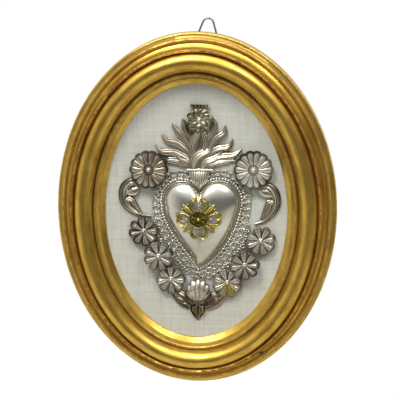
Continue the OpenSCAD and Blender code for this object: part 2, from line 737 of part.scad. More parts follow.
// A pearl's rim touches the crown a little way out from the hole, where the crown has begun to rise
function pearl_seat(rise, cup, radius, pearl) =
    let(hole = pin_hole_d / 2, part = (pearl / 2 * cos(30) - hole) / (radius - hole) / ring_shares[1],
        low = crown_level(rise, cup, 0))
    low + (crown_level(rise, cup, ring_shares[1]) - low) * part + pin_gap;
pearl_d = 3.2;
small_pearl_d = 2.2;
cross_hub = pearl_seat(cross_rosette_rise, cross_cup, cross_rosette_r, small_pearl_d);
rosette_hub = pearl_seat(rosette_rise, rosette_cup, rosette_r, pearl_d);
foot_level = board_back - linen_t / 2;
module rosette_pins() {
    color("silver")
        face_on()
            for (s = rosette_shares)
                at_spot(s)
                    pearl_pin(foot_level, rosette_seat + rosette_hub, pearl_d);
}

module scroll_leaf(main, main_widths, curls) {
    color("silver")
        face_on() {
            leaf(spots(main), shares_of_h(main_widths), flame_rise, linen_top, sheet_t);
            for (k = [0:len(curls) - 1])
                leaf(spots(curls[k]), shares_of_h(curl_width_shares), flame_rise, linen_top + lap * (k + 1),
                    sheet_t);
        }
}

leaf_left_shares = [[-27.4, 12.9], [-30.4, 14.9], [-34.1, 11.9], [-34.4, 6.2], [-31.4, 2.2], [-27.1, -0.1],
    [-21.7, -1]];
leaf_right_shares = [[26.6, 11.9], [30.3, 13.5], [33.9, 10.5], [34.7, 5.5], [32.9, 1.2], [29.3, -2.3],
    [24.9, -3.8]];
leaf_width_shares = [2.6, 3.6, 3.8, 3.5, 2.6, 1.4, 0.6];
curl_width_shares = [2.2, 2, 1.8, 0.8];
curls_left_shares = [[[-33.1, 5.5], [-30.1, 5.5], [-27.7, 2.5], [-25.7, 0.2]],
    [[-33.1, 10.4], [-31.1, 10.2], [-29.1, 10.6], [-27.4, 11.9]]];
curls_right_shares = [[[33.6, 9.2], [31.6, 9.9], [28.9, 9.7], [26.3, 8.9]],
    [[32.9, 2.2], [30.6, 2.9], [28.6, 1.9], [27.6, -1.1]]];

module scroll_leaf_left() {
    scroll_leaf(leaf_left_shares, leaf_width_shares, curls_left_shares);
}

module scroll_leaf_right() {
    scroll_leaf(leaf_right_shares, leaf_width_shares, curls_right_shares);
}

flower_petals = 8;
flower_seat = sheet_top + sheet_t;
flower_cup = 0.5;
// The middle flower of each side lies on its neighbours where their petals lap
flower_spacing = min([for (k = [0, 1, 3, 4]) norm(spot(flower_shares[k]) - spot(flower_shares[k + 1]))]);
flower_lift = crown_level(flower_rise, flower_cup, (flower_spacing - flower_r) / flower_r);
flower_seats = [flower_seat, flower_seat + flower_lift, flower_seat, flower_seat, flower_seat + flower_lift,
    flower_seat];
module flower(k) {
    color("silver")
        face_on()
            at_spot(flower_shares[k], flower_seats[k])
                fluted_rosette(flower_r, flower_petals, flower_rise, 4, flower_cup);
}

module flower_left_upper() {
    flower(0);
}

module flower_left_middle() {
    flower(1);
}

module flower_left_lower() {
    flower(2);
}

module flower_right_upper() {
    flower(3);
}

module flower_right_middle() {
    flower(4);
}

module flower_right_lower() {
    flower(5);
}

flower_hub = pearl_seat(flower_rise, flower_cup, flower_r, small_pearl_d);
module flower_pins() {
    color("silver")
        face_on()
            for (k = [0:len(flower_shares) - 1])
                at_spot(flower_shares[k])
                    pearl_pin(linen_top, flower_seats[k] + flower_hub, small_pearl_d, 0);
}

tail_left_shares = [[-13.8, -34.8], [-10.6, -37.2], [-7.4, -40.2], [-4.6, -42.2]];
tail_right_shares = [[12.6, -36.4], [9.4, -38.6], [6.2, -41], [3.2, -42.7]];
tail_tip_shares = [[-0.7, -42.4], [-0.75, -44.4], [-0.8, -47], [-0.9, -50]];
tail_width_shares = [2.4, 6.2, 6, 3];
tip_width_shares = [3, 7.6, 5.6, 0.3];
// The tail leaves run under the lower flowers, so their ridge stays below a flower's seat
tail_rise = sheet_t - drape_gap;

module tail_leaf_left() {
    color("silver")
        face_on()
            leaf(spots(tail_left_shares), shares_of_h(tail_width_shares), tail_rise, linen_top, sheet_t);
}

module tail_leaf_right() {
    color("silver")
        face_on()
            leaf(spots(tail_right_shares), shares_of_h(tail_width_shares), tail_rise, linen_top, sheet_t);
}

module tail_tip() {
    color("silver")
        face_on()
            leaf(spots(tail_tip_shares), shares_of_h(tip_width_shares), flame_rise, linen_top, sheet_t);
}

palmette_r_share = 5.6;
palmette_petals = 12;
palmette_rise = 3;
module tail_palmette() {
    color("silver")
        face_on()
            at_spot(palmette_share, rosette_seat)
                fluted_rosette(shares_of_h(palmette_r_share), palmette_petals, palmette_rise, 3, rosette_cup);
}

module cross_pin() {
    color("darkkhaki")
        face_on()
            at_spot(cross_share)
                pearl_pin(foot_level, cross_rosette_seat + cross_hub, small_pearl_d);
}

palmette_hub = pearl_seat(palmette_rise, rosette_cup, shares_of_h(palmette_r_share), small_pearl_d);
module palmette_pin() {
    color("silver")
        face_on()
            at_spot(palmette_share)
                pearl_pin(foot_level, rosette_seat + palmette_hub, small_pearl_d);
}

// Cartouche: a quarter of its gilt scrolls and its corner leaf, from the heart's middle. They follow the dome
// and are mirrored both ways round a small ring on four spokes.
scroll_quarter_shares = [
    [[3.4, 0.9], [5.6, 2.6], [8.1, 2.9], [9.6, 1.6], [8.5, 0.8]],
    [[0.9, 3.2], [2.9, 5], [3.4, 7.2], [2, 8.7], [0.6, 7.7]],
    [[2.2, 2.2], [4.4, 4.2], [6.8, 6.4]]];
scroll_width_shares = [[0.9, 1.1, 1.4, 1.2, 0.8], [0.9, 1.1, 1.4, 1.2, 0.8], [1.5, 2.2, 0.3]];
spoke_shares = [[[-3.4, 0], [0, 0], [3.4, 0]], [[0, -3.3], [0, 0], [0, 3.3]]];
spoke_width_shares = [0.8, 2.8, 0.8];
scroll_steps = [2, 2, 1];
scroll_ring_share = 3.6;
scroll_ring_steps = 14;
// The ring is open by this angle under a corner leaf
scroll_ring_open = 12;
cartouche_rise = 0.6;
cartouche_top = dome_top + drape_gap + 2 * lap + sheet_t / 2 + cartouche_rise;
module draped(shares, width_shares, steps, laps = 0) {
    leaf([for (s = shares) heart_mid + shares_of_h(s)], shares_of_h(width_shares), cartouche_rise, 0,
        sheet_t / 2, steps, drape_gap + lap * laps);
}

module gilt_cartouche() {
    color("gold")
        face_on()
            difference() {
                union() {
                    for (k = [0:len(scroll_quarter_shares) - 1], x = [-1, 1], y = [-1, 1])
                        draped([for (s = scroll_quarter_shares[k]) [s[0] * x, s[1] * y]],
                            scroll_width_shares[k], scroll_steps[k]);
                    for (k = [0, 1])
                        draped(spoke_shares[k], spoke_width_shares, 1, 2 * k);
                    draped([for (i = [0:scroll_ring_steps])
                        let(a = 45 + scroll_ring_open / 2 + (360 - scroll_ring_open) * i / scroll_ring_steps)
                            scroll_ring_share * [cos(a), sin(a)]],
                        [for (i = [0:scroll_ring_steps]) scroll_width_shares[0][0]], 1, 1);
                }
                translate([heart_mid[0], heart_mid[1], 0])
                    cylinder(h = 2 * dome_top, d = pin_hole_d, $fn = 16);
            }
}

module cartouche_pin() {
    color("gold")
        face_on()
            at_spot(heart_mid_share)
                pearl_pin(dome_top, cartouche_top, small_pearl_d, 0);
}

frame_moulding();
linen_cover();
mount_board();
backing_board();
backing_brads();
hanger_plate();
hanger_screws();
hanger_wire();
filigree_border();
heart_shell();
heart_grains();
flame_crest();
neck_collar();
crest_neck();
cross_finial();
cross_rosette();
rosette_left();
rosette_right();
rosette_pins();
scroll_leaf_left();
scroll_leaf_right();
flower_left_upper();
flower_left_middle();
flower_left_lower();
flower_right_upper();
flower_right_middle();
flower_right_lower();
flower_pins();
tail_leaf_left();
tail_leaf_right();
tail_tip();
tail_palmette();
palmette_pin();
cross_pin();
gilt_cartouche();
cartouche_pin();
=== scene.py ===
# Oval gilt frame with a silver sacred-heart ex-voto on stretched linen.
import math
import bpy
import bmesh
import numpy as np
from mathutils import Matrix, Vector


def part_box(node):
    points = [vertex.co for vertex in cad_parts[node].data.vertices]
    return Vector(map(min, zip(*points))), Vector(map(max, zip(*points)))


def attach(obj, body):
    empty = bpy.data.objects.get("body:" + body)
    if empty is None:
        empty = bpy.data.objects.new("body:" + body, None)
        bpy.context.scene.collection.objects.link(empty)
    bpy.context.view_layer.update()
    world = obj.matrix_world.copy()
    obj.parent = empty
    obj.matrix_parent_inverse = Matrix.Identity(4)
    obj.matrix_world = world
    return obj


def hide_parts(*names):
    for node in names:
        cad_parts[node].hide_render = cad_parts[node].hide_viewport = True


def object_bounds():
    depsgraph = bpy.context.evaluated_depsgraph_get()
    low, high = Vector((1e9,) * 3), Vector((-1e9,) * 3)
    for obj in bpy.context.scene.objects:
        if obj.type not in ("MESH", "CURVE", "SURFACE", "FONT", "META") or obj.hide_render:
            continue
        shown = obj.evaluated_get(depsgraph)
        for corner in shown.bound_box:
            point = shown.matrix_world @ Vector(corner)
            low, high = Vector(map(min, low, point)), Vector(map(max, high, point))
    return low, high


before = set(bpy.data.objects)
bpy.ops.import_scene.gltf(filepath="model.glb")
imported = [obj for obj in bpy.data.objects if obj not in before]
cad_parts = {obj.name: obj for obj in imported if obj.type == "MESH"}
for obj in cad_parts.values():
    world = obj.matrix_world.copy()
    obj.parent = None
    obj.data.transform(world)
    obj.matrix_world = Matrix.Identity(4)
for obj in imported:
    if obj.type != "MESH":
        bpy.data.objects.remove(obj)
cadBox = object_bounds()
mm = 0.001
scene = bpy.context.scene

# The frame's middle, from the moulding's box
# Points are written as (x, y, h) in mm: right, up, and out from the wall
mouldingLow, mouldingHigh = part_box("frame_moulding")
midX = (mouldingLow.x + mouldingHigh.x) / 2
midZ = (mouldingLow.z + mouldingHigh.z) / 2


def onFace(points):
    p = np.asarray(points, float)
    return np.column_stack([midX + p[:, 0] * mm, -p[:, 2] * mm, midZ + p[:, 1] * mm])


def nodeSpan(node):   # low and high corner of a CAD node as (x, y, h) in mm
    low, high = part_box(node)
    return (np.array([(low.x - midX) / mm, (low.z - midZ) / mm, -high.y / mm]),
            np.array([(high.x - midX) / mm, (high.z - midZ) / mm, -low.y / mm]))


def nodeMiddle(node):
    low, high = nodeSpan(node)
    return (low[:2] + high[:2]) / 2


# Camera at the photograph's angle
cameraSet = {"eye": (0.04166, -0.53578, -0.01014), "yaw": -5.164, "pitch": 11.66, "roll": 0.233,
             "lens": 71.95, "sensor": 36}


def placeCamera(s):
    turn = (Matrix.Rotation(math.radians(s["roll"]), 3, "Z")
            @ Matrix.Rotation(math.radians(s["pitch"]), 3, "X")
            @ Matrix.Rotation(math.radians(s["yaw"]), 3, "Y"))
    axes = [Vector((v.x, -v.z, v.y)) for v in turn]   # right, up and back, in the object's frame
    data = bpy.data.cameras.new("photoCamera")
    data.lens = s["lens"]
    data.sensor_width = s["sensor"]
    data.clip_start = 0.01
    camera = bpy.data.objects.new("photoCamera", data)
    camera.matrix_world = Matrix.Translation(s["eye"]) @ Matrix(axes).transposed().to_4x4()
    scene.collection.objects.link(camera)
    scene.camera = camera


placeCamera(cameraSet)
print("camera placed")


# Mesh helpers: a point is (x, y, h, hollow), which runs from 0, rubbed bright, to 1, dark; it paints shade
# into recesses and onto sides turned from the light, together with the tarnish and grime there, and leaves
# crowns bright as painted highlights
def newObject(name, mesh):
    obj = bpy.data.objects.new(name, mesh)
    scene.collection.objects.link(obj)
    return obj


def finishShape(mesh, sharp=38):
    bm = bmesh.new()
    bm.from_mesh(mesh)
    bmesh.ops.remove_doubles(bm, verts=bm.verts, dist=1e-7)
    bmesh.ops.recalc_face_normals(bm, faces=bm.faces)
    bm.to_mesh(mesh)
    bm.free()
    mesh.shade_smooth()
    mesh.set_sharp_from_angle(angle=math.radians(sharp))


def meshFrom(name, places, faces, hollow=None, sharp=38):
    mesh = bpy.data.meshes.new(name)
    mesh.from_pydata([tuple(p) for p in places], [], faces)
    if hollow is not None:
        layer = mesh.attributes.new("hollow", "FLOAT", "POINT")
        layer.data.foreach_set("value", np.asarray(hollow, np.float32))
    finishShape(mesh, sharp)
    return mesh


class Casting:   # collects the closed parts of one piece
    def __init__(self):
        self.points, self.faces = [], []

    def add(self, shape):
        points, faces = shape
        start = len(self.points)
        self.points.extend([tuple(p) for p in points])
        self.faces.extend([tuple(start + i for i in f) for f in faces])
        return self

    def make(self, name, sharp=38, place=True):
        p = np.array(self.points)
        places = onFace(p) if place else np.column_stack([p[:, 0], -p[:, 2], p[:, 1]]) * mm
        return newObject(name, meshFrom(name, places, self.faces, p[:, 3], sharp))


def loft(rows, closedEnds=True):   # rows are closed loops of equal length, joined in turn
    rows = [np.asarray(r, float) for r in rows]
    count = len(rows[0])
    faces = []
    for j in range(len(rows) - 1):
        near, far = j * count, (j + 1) * count
        faces += [(near + i, near + (i + 1) % count, far + (i + 1) % count, far + i) for i in range(count)]
    points = list(np.concatenate(rows))
    if closedEnds:
        for start in (0, (len(rows) - 1) * count):
            points.append(np.mean(points[start:start + count], axis=0))
            faces += [(start + i, start + (i + 1) % count, len(points) - 1) for i in range(count)]
    return points, faces


def smoothPath(values, steps):   # a curve through every value
    v = np.asarray(values, float)
    v = v.reshape(len(v), -1)
    out = []
    for i in range(len(v) - 1):
        a, b, c, d = v[max(i - 1, 0)], v[i], v[i + 1], v[min(i + 2, len(v) - 1)]
        for k in range(steps):
            t = k / steps
            out.append(0.5 * (2 * b + (c - a) * t + (2 * a - 5 * b + 4 * c - d) * t ** 2
                              + (3 * b - a - 3 * c + d) * t ** 3))
    out.append(v[-1])
    return np.array(out)


def sideways(path):   # the unit vector to the left of each point of a path
    along = np.gradient(path, axis=0)
    along /= np.linalg.norm(along, axis=1)[:, None] + 1e-9
    return np.column_stack([-along[:, 1], along[:, 0]])


def revolve(profile, centre, turns=32, across=False):   # profile points are (radius, height, darkening), the darkening being tarnish with painted shade
    rows = []
    for r, z, dark in profile:
        ring = []
        for i in range(turns):
            a = 2 * math.pi * i / turns
            c, s = max(r, 1e-4) * math.cos(a), max(r, 1e-4) * math.sin(a)
            ring.append((centre[0] + z, centre[1] + c, centre[2] + s, dark) if across
                        else (centre[0] + c, centre[1] + s, centre[2] + z, dark))
        rows.append(ring)
    return loft(rows)


def torus(radius, wire, around, turns=8):   # a wire ring that lies flat, with a painted highlight along its crown and painted shade down its sides
    rows = []
    for i in range(around + 1):
        a = 2 * math.pi * (i % around) / around
        ring = []
        for j in range(turns):
            b = 2 * math.pi * j / turns
            r = radius + wire * math.cos(b)
            dark = min(1, max(0, 1.3 - 1.4 * math.sin(b)))
            ring.append((r * math.cos(a), r * math.sin(a), wire * (1 + math.sin(b)), dark))
        rows.append(ring)
    return loft(rows, closedEnds=False)


# Chased sections: (place across, height, darkening), from one edge to the other; the darkening is painted
# shade in the low places and at the edges, with tarnish there, and the raised places are left bright as
# painted highlights
def turnedSection(section):
    return [(-u, height, dark) for u, height, dark in reversed(section)]


petalSide = [(0.15, 0.15, 0.75), (0.3, 0.35, 0), (0.46, 0.1, 0.05), (0.6, 0.25, 0.9), (0.7, 0.7, 1),
             (0.84, 1, 0.85), (0.96, 0.7, 1), (1, 0, 1)]
sections = {
    "flame": [(-1, 0, 1), (-0.93, 0.3, 0.75), (-0.8, 0.42, 0.3), (-0.64, 0.3, 0.7), (-0.46, 0.7, 0.12),
              (-0.28, 0.92, 0), (-0.12, 0.72, 0.55), (0.04, 1, 0), (0.2, 0.86, 0.05), (0.36, 0.5, 0.75),
              (0.56, 0.62, 0.1), (0.76, 0.34, 0.45), (0.92, 0.3, 0.7), (1, 0, 1)],
    "leaf": [(-1, 0, 1), (-0.92, 0.45, 0.8), (-0.78, 0.62, 0.55), (-0.6, 0.42, 0.95), (-0.4, 0.75, 0.6),
             (-0.2, 0.95, 0.3), (0, 1, 0.15), (0.2, 0.8, 0.5), (0.4, 0.5, 0.9), (0.58, 0.66, 0.25),
             (0.76, 0.6, 0.15), (0.92, 0.35, 0.5), (1, 0, 1)],
    "outerDark": [(-1, 0, 1), (-0.94, 0.4, 1), (-0.78, 0.72, 0.95), (-0.55, 0.95, 0.8), (-0.36, 1, 0.6),
                  (-0.2, 0.7, 0.95), (-0.04, 0.62, 0.5), (0.16, 0.92, 0.0), (0.36, 0.8, 0.05),
                  (0.52, 0.42, 0.9), (0.7, 0.66, 0.05), (0.9, 0.4, 0.3), (1, 0, 1)],
    "petal": turnedSection(petalSide) + [(0, 0.6, 0)] + petalSide,
    "lobe": [(-1, 0, 1), (-0.9, 0.5, 0.8), (-0.65, 0.85, 0.15), (-0.25, 1, 0), (0.25, 1, 0),
             (0.65, 0.85, 0.1), (0.9, 0.5, 0.7), (1, 0, 1)],
    "scroll": [(-1, 0, 1), (-0.85, 0.55, 0.6), (-0.5, 0.92, 0.2), (-0.15, 0.7, 0.6), (0.15, 0.7, 0.6),
               (0.5, 1, 0.05), (0.85, 0.55, 0.5), (1, 0, 1)],
}
sections["outerDarkTurned"] = turnedSection(sections["outerDark"])


def tongue(path, widths, section, level=0.0, rise=1.7, edge=0.8, steps=6, drape=None, rim=0.0, crown=None):
    p = smoothPath(path, steps)
    w = smoothPath(widths, steps)[:, 0]
    half = np.maximum(w, 0.03 * w.max()) / 2
    left = sideways(p)
    across = np.array(sections[section])
    rows = []
    for i in range(len(p)):
        t = i / (len(p) - 1)
        full = half[i] / half.max()
        lift = 0 if crown is None else crown * math.sin(math.pi * min(1, t * 1.05))
        tip = 0 if rim == 0 else min(1, max(0, (t - 1 + 2 * rim) / rim))
        ring = []
        for u, height, dark in across:
            x, y = p[i] + left[i] * u * half[i]
            under = drape(x, y) if drape else level
            # Towards a rimmed tip the rim rises and is painted dark, as shade along it
            rimmed = height + (1 - height) * tip if abs(u) < 0.84 else height
            dark = dark + (0.95 - dark) * tip if abs(u) < 0.84 else dark
            body = edge * (0.45 + 0.55 * (abs(u) < 1))
            ring.append((x, y, under + lift + body + rise * full * rimmed, dark))
        for u in (1, -1):
            x, y = p[i] + left[i] * u * half[i]
            ring.append((x, y, (drape(x, y) if drape else level) + lift * 0.6, 1))
        rows.append(ring)
    return loft(rows)


# Shared shader effects
def add(tree, kind, plugs=None, **settings):
    node = tree.nodes.new(kind)
    for key, value in settings.items():
        setattr(node, key, value)
    for key, value in (plugs or {}).items():
        if isinstance(value, bpy.types.NodeSocket):
            tree.links.new(value, node.inputs[key])
        else:
            node.inputs[key].default_value = value
    return node


def effectGroup(name, inputs, outputs):
    tree = bpy.data.node_groups.new(name, "ShaderNodeTree")
    for label, value in inputs:
        socket = tree.interface.new_socket(label, in_out="INPUT", socket_type="NodeSocketFloat")
        socket.default_value = value
    for label, kind in outputs:
        tree.interface.new_socket(label, in_out="OUTPUT", socket_type=kind)
    return tree, tree.nodes.new("NodeGroupInput").outputs, tree.nodes.new("NodeGroupOutput").inputs


def maths(tree, operation, a, b=0.0, c=0.0, clamp=False):
    return add(tree, "ShaderNodeMath", {0: a, 1: b, 2: c}, operation=operation, use_clamp=clamp).outputs[0]


def spreadOf(tree, value, amount, middle=0.5):   # a noise value, centred on 0 and widened
    return maths(tree, "MULTIPLY", maths(tree, "SUBTRACT", value, middle), amount)


def ramp(tree, value, start, end, top=1.0):   # 0 up to the start, and the top from the end on
    return add(tree, "ShaderNodeMapRange", {"Value": value, "From Min": start, "From Max": end, "To Min": 0.0,
                                            "To Max": top}).outputs[0]


def blend(tree, factor, a, b):
    return add(tree, "ShaderNodeMix", {0: factor, 6: a, 7: b}, data_type="RGBA").outputs[2]


def objectPlace(tree):
    return add(tree, "ShaderNodeTexCoord").outputs["Object"]


def noiseOf(tree, vector, scale, detail=3.0, rough=0.55):
    return add(tree, "ShaderNodeTexNoise", {"Vector": vector, "Scale": scale, "Detail": detail,
                                            "Roughness": rough}).outputs["Fac"]


def makeTarnishAndShadeGroup():   # how dark a place on worked metal is: tarnish and painted shade from the hollow attribute, and a drifting stain
    tree, given, result = effectGroup("tarnish", [("Recess", 1.0), ("Stain", 0.5), ("Bias", 0.0)],
                                      [("Mask", "NodeSocketFloat")])
    hollow = add(tree, "ShaderNodeAttribute", attribute_name="hollow").outputs["Fac"]
    place = objectPlace(tree)
    drift = spreadOf(tree, noiseOf(tree, place, 55.0, 4.0), 2.2)
    fine = maths(tree, "SUBTRACT", noiseOf(tree, place, 520.0, 3.0, 0.7), 0.5)
    stain = maths(tree, "MULTIPLY", maths(tree, "ADD", drift, fine), given["Stain"])
    deep = maths(tree, "MULTIPLY", hollow, given["Recess"])
    total = maths(tree, "ADD", maths(tree, "ADD", deep, stain), given["Bias"], clamp=True)
    tree.links.new(total, result["Mask"])
    return tree


def makeGrainGroup():   # a fine uneven surface, as a normal
    tree, given, result = effectGroup("surfaceGrain",
                                      [("Scale", 400.0), ("Strength", 0.2), ("Distance", 0.0002)],
                                      [("Normal", "NodeSocketVector"), ("Value", "NodeSocketFloat")])
    coarse = noiseOf(tree, objectPlace(tree), given["Scale"], 4.0, 0.6)
    bump = add(tree, "ShaderNodeBump", {"Strength": given["Strength"], "Distance": given["Distance"],
                                        "Height": coarse})
    tree.links.new(bump.outputs["Normal"], result["Normal"])
    tree.links.new(coarse, result["Value"])
    return tree


tarnishAndShadeGroup = makeTarnishAndShadeGroup()
grainGroup = makeGrainGroup()


def effect(tree, group, **values):
    node = add(tree, "ShaderNodeGroup")
    node.node_tree = group
    for key, value in values.items():
        node.inputs[key].default_value = value
    return node.outputs


def newMaterial(name):
    mat = bpy.data.materials.new(name)
    mat.use_nodes = True
    return mat, mat.node_tree, mat.node_tree.nodes["Principled BSDF"].inputs


def spotMask(tree, place, reach, most):   # a ragged patch round a place, as a mask
    middle = onFace([place])[0]
    distance = add(tree, "ShaderNodeVectorMath", {0: objectPlace(tree), 1: tuple(middle)},
                   operation="DISTANCE").outputs["Value"]
    uneven = maths(tree, "MULTIPLY", noiseOf(tree, objectPlace(tree), 180.0), 6 * mm)
    return ramp(tree, maths(tree, "ADD", distance, uneven), reach * mm, 4 * mm, most)


def metal(name, s):   # bright metal, darkened by tarnish and painted shade in its recesses
    mat, tree, shader = newMaterial(name)
    mask = effect(tree, tarnishAndShadeGroup, Recess=s["recess"], Stain=s["stain"], Bias=s["bias"])["Mask"]
    grain = effect(tree, grainGroup, Scale=s["grainScale"], Strength=s["grain"])
    warm = maths(tree, "SUBTRACT", noiseOf(tree, objectPlace(tree), 38.0, 2.0), 0.35)
    warm = maths(tree, "MULTIPLY", warm, 2.2, clamp=True)
    tone = blend(tree, warm, (*s["bright"], 1), (*s["warm"], 1))
    tone = blend(tree, mask, tone, (*s["dark"], 1))
    if "spill" in s:   # a greenish yellow spill that has dried on the metal
        spill = spotMask(tree, s["spill"], s["spillReach"], 0.85)
        tone = blend(tree, spill, tone, (*s["spillTone"], 1))
    tree.links.new(tone, shader["Base Color"])
    shader["Metallic"].default_value = s["metallic"]
    rough = maths(tree, "ADD", maths(tree, "MULTIPLY", mask, s["darkRough"] - s["rough"]), s["rough"])
    tree.links.new(maths(tree, "ADD", rough, maths(tree, "MULTIPLY", grain["Value"], s["roughSpread"])),
                   shader["Roughness"])
    tree.links.new(grain["Normal"], shader["Normal"])
    return mat


metals = {
    "silver": {"bright": (0.76, 0.71, 0.57), "warm": (0.52, 0.43, 0.31), "dark": (0.05, 0.035, 0.02),
               "metallic": 1.0, "rough": 0.24, "darkRough": 0.38, "roughSpread": 0.1, "recess": 1.0,
               "stain": 0.6, "bias": -0.04, "grain": 0.25, "grainScale": 900.0},
    "polishedSilver": {"bright": (0.80, 0.79, 0.69), "warm": (0.68, 0.64, 0.51), "dark": (0.13, 0.1, 0.06),
                       "metallic": 0.9, "rough": 0.17, "darkRough": 0.4, "roughSpread": 0.08, "recess": 0.9,
                       "stain": 0.16, "bias": 0.0, "grain": 0.06, "grainScale": 260.0},
    "filigreeSilver": {"bright": (0.84, 0.80, 0.68), "warm": (0.64, 0.57, 0.44), "dark": (0.045, 0.033, 0.02),
                       "metallic": 0.76, "rough": 0.2, "darkRough": 0.45, "roughSpread": 0.1, "recess": 1.0,
                       "stain": 0.45, "bias": -0.06, "grain": 0.2, "grainScale": 900.0},
    "lemonGilt": {"bright": (0.84, 0.70, 0.17), "warm": (0.56, 0.43, 0.06), "dark": (0.07, 0.05, 0.01),
                  "metallic": 1.0, "rough": 0.17, "darkRough": 0.42, "roughSpread": 0.12, "recess": 0.95,
                  "stain": 0.9, "bias": -0.02, "grain": 0.9, "grainScale": 600.0},
    "oliveGilt": {"bright": (0.56, 0.52, 0.36), "warm": (0.34, 0.30, 0.17), "dark": (0.04, 0.034, 0.014),
                  "metallic": 1.0, "rough": 0.24, "darkRough": 0.45, "roughSpread": 0.1, "recess": 1.0,
                  "stain": 0.8, "bias": 0.08, "grain": 0.5, "grainScale": 700.0},
    "brownSilver": {"bright": (0.66, 0.59, 0.45), "warm": (0.38, 0.25, 0.16), "dark": (0.045, 0.028, 0.015),
                    "metallic": 1.0, "rough": 0.26, "darkRough": 0.4, "roughSpread": 0.1, "recess": 1.0,
                    "stain": 0.8, "bias": 0.06, "grain": 0.3, "grainScale": 800.0},
    "dullSteel": {"bright": (0.46, 0.45, 0.43), "warm": (0.36, 0.33, 0.3), "dark": (0.1, 0.08, 0.07),
                  "metallic": 1.0, "rough": 0.36, "darkRough": 0.6, "roughSpread": 0.15, "recess": 0.5,
                  "stain": 0.7, "bias": 0.1, "grain": 0.3, "grainScale": 900.0},
    "darkWire": {"bright": (0.42, 0.40, 0.36), "warm": (0.34, 0.3, 0.24), "dark": (0.1, 0.08, 0.06),
                 "metallic": 1.0, "rough": 0.34, "darkRough": 0.55, "roughSpread": 0.1, "recess": 0.5,
                 "stain": 0.5, "bias": 0.05, "grain": 0.2, "grainScale": 900.0},
    "dullBrass": {"bright": (0.60, 0.45, 0.2), "warm": (0.5, 0.36, 0.16), "dark": (0.12, 0.08, 0.04),
                  "metallic": 1.0, "rough": 0.36, "darkRough": 0.55, "roughSpread": 0.12, "recess": 0.6,
                  "stain": 0.6, "bias": 0.05, "grain": 0.3, "grainScale": 700.0},
}
metals["spilledSilver"] = {**metals["filigreeSilver"], "spill": (22.8, -52.5, 11.0), "spillReach": 10.0,
                           "spillTone": (0.46, 0.37, 0.04)}
finish = {name: metal(name, values) for name, values in metals.items()}


def woodFinish(name, light, dark, scale):
    mat, tree, shader = newMaterial(name)
    place = add(tree, "ShaderNodeMapping", {"Vector": objectPlace(tree), "Scale": scale}).outputs[0]
    grain = noiseOf(tree, place, 60.0, 6.0, 0.65)
    tree.links.new(blend(tree, grain, (*dark, 1), (*light, 1)), shader["Base Color"])
    bump = add(tree, "ShaderNodeBump", {"Strength": 0.35, "Distance": 0.0003, "Height": grain})
    tree.links.new(bump.outputs["Normal"], shader["Normal"])
    shader["Roughness"].default_value = 0.72
    return mat


finish["plywood"] = woodFinish("plywood", (0.40, 0.25, 0.13), (0.17, 0.10, 0.05), (1.0, 1.0, 0.06))
finish["card"] = woodFinish("card", (0.62, 0.55, 0.42), (0.45, 0.39, 0.28), (1.0, 1.0, 1.0))


# Linen: two sets of threads with uneven thickness, and a faint stain low on the right
linenSet = {"pale": (0.67, 0.675, 0.60), "shade": (0.50, 0.505, 0.44), "thread": 0.46, "slub": 2.6,
            "stain": (23.5, -56.0, 8.6), "stainReach": 7.5, "stainTone": (0.42, 0.36, 0.08), "wave": 0.12,
            "turned": 12.0, "around": 180}


def makeWeaveGroup():
    tree, given, result = effectGroup("weave", [("Threads", 12000.0)],
                                      [("Height", "NodeSocketFloat"), ("Slubs", "NodeSocketFloat")])
    parts = add(tree, "ShaderNodeSeparateXYZ", {0: objectPlace(tree)}).outputs
    heights, slubs = [], []
    warp = (parts["X"], parts["Z"], (0.05, 1.0, 1.0))
    weft = (parts["Z"], parts["X"], (1.0, 1.0, 0.05))
    for along, over, long in (warp, weft):
        thread = maths(tree, "SINE", maths(tree, "MULTIPLY", along, given["Threads"]))
        lap = maths(tree, "SINE", maths(tree, "MULTIPLY", over, given["Threads"]))
        lap = maths(tree, "ADD", maths(tree, "MULTIPLY", lap, 0.25), 0.75)
        heights.append(maths(tree, "MULTIPLY", thread, lap))
        stretched = add(tree, "ShaderNodeMapping", {"Vector": objectPlace(tree), "Scale": long}).outputs[0]
        slubs.append(noiseOf(tree, stretched, 900.0, 2.0, 0.6))
    tree.links.new(maths(tree, "ADD", heights[0], heights[1]), result["Height"])
    tree.links.new(maths(tree, "MULTIPLY", maths(tree, "ADD", slubs[0], slubs[1]), 0.5), result["Slubs"])
    return tree


def linenFinish(s):
    mat, tree, shader = newMaterial("linenWeave")
    weave = effect(tree, makeWeaveGroup(), Threads=2 * math.pi / (s["thread"] * mm))
    slub = spreadOf(tree, weave["Slubs"], s["slub"])
    # The thread crowns are painted a little paler and the gaps between threads a little darker, as painted
    # light on the weave; the slubs give the threads' own uneven tone
    shade = maths(tree, "ADD", maths(tree, "MULTIPLY", weave["Height"], -0.10),
                  maths(tree, "SUBTRACT", 0.3, slub), clamp=True)
    cloth = blend(tree, shade, (*s["pale"], 1), (*s["shade"], 1))
    stain = spotMask(tree, s["stain"], s["stainReach"], 0.8)
    tree.links.new(blend(tree, stain, cloth, (*s["stainTone"], 1)), shader["Base Color"])
    height = maths(tree, "ADD", weave["Height"], slub)
    bump = add(tree, "ShaderNodeBump", {"Strength": 0.35, "Distance": 0.00012, "Height": height})
    tree.links.new(bump.outputs["Normal"], shader["Normal"])
    shader["Roughness"].default_value = 0.9
    shader["Sheen Weight"].default_value = 0.15
    return mat


finish["linen"] = linenFinish(linenSet)


# Gold leaf over red bole, with brush marks that run along the rings, and the grooves painted dark as shade
# mixed with grime
leafSet = {"bright": (0.84, 0.55, 0.11), "deep": (0.46, 0.25, 0.03), "bole": (0.12, 0.025, 0.01),
           "thin": (0.36, 0.15, 0.02), "groove": (0.045, 0.017, 0.005), "rough": 0.22}


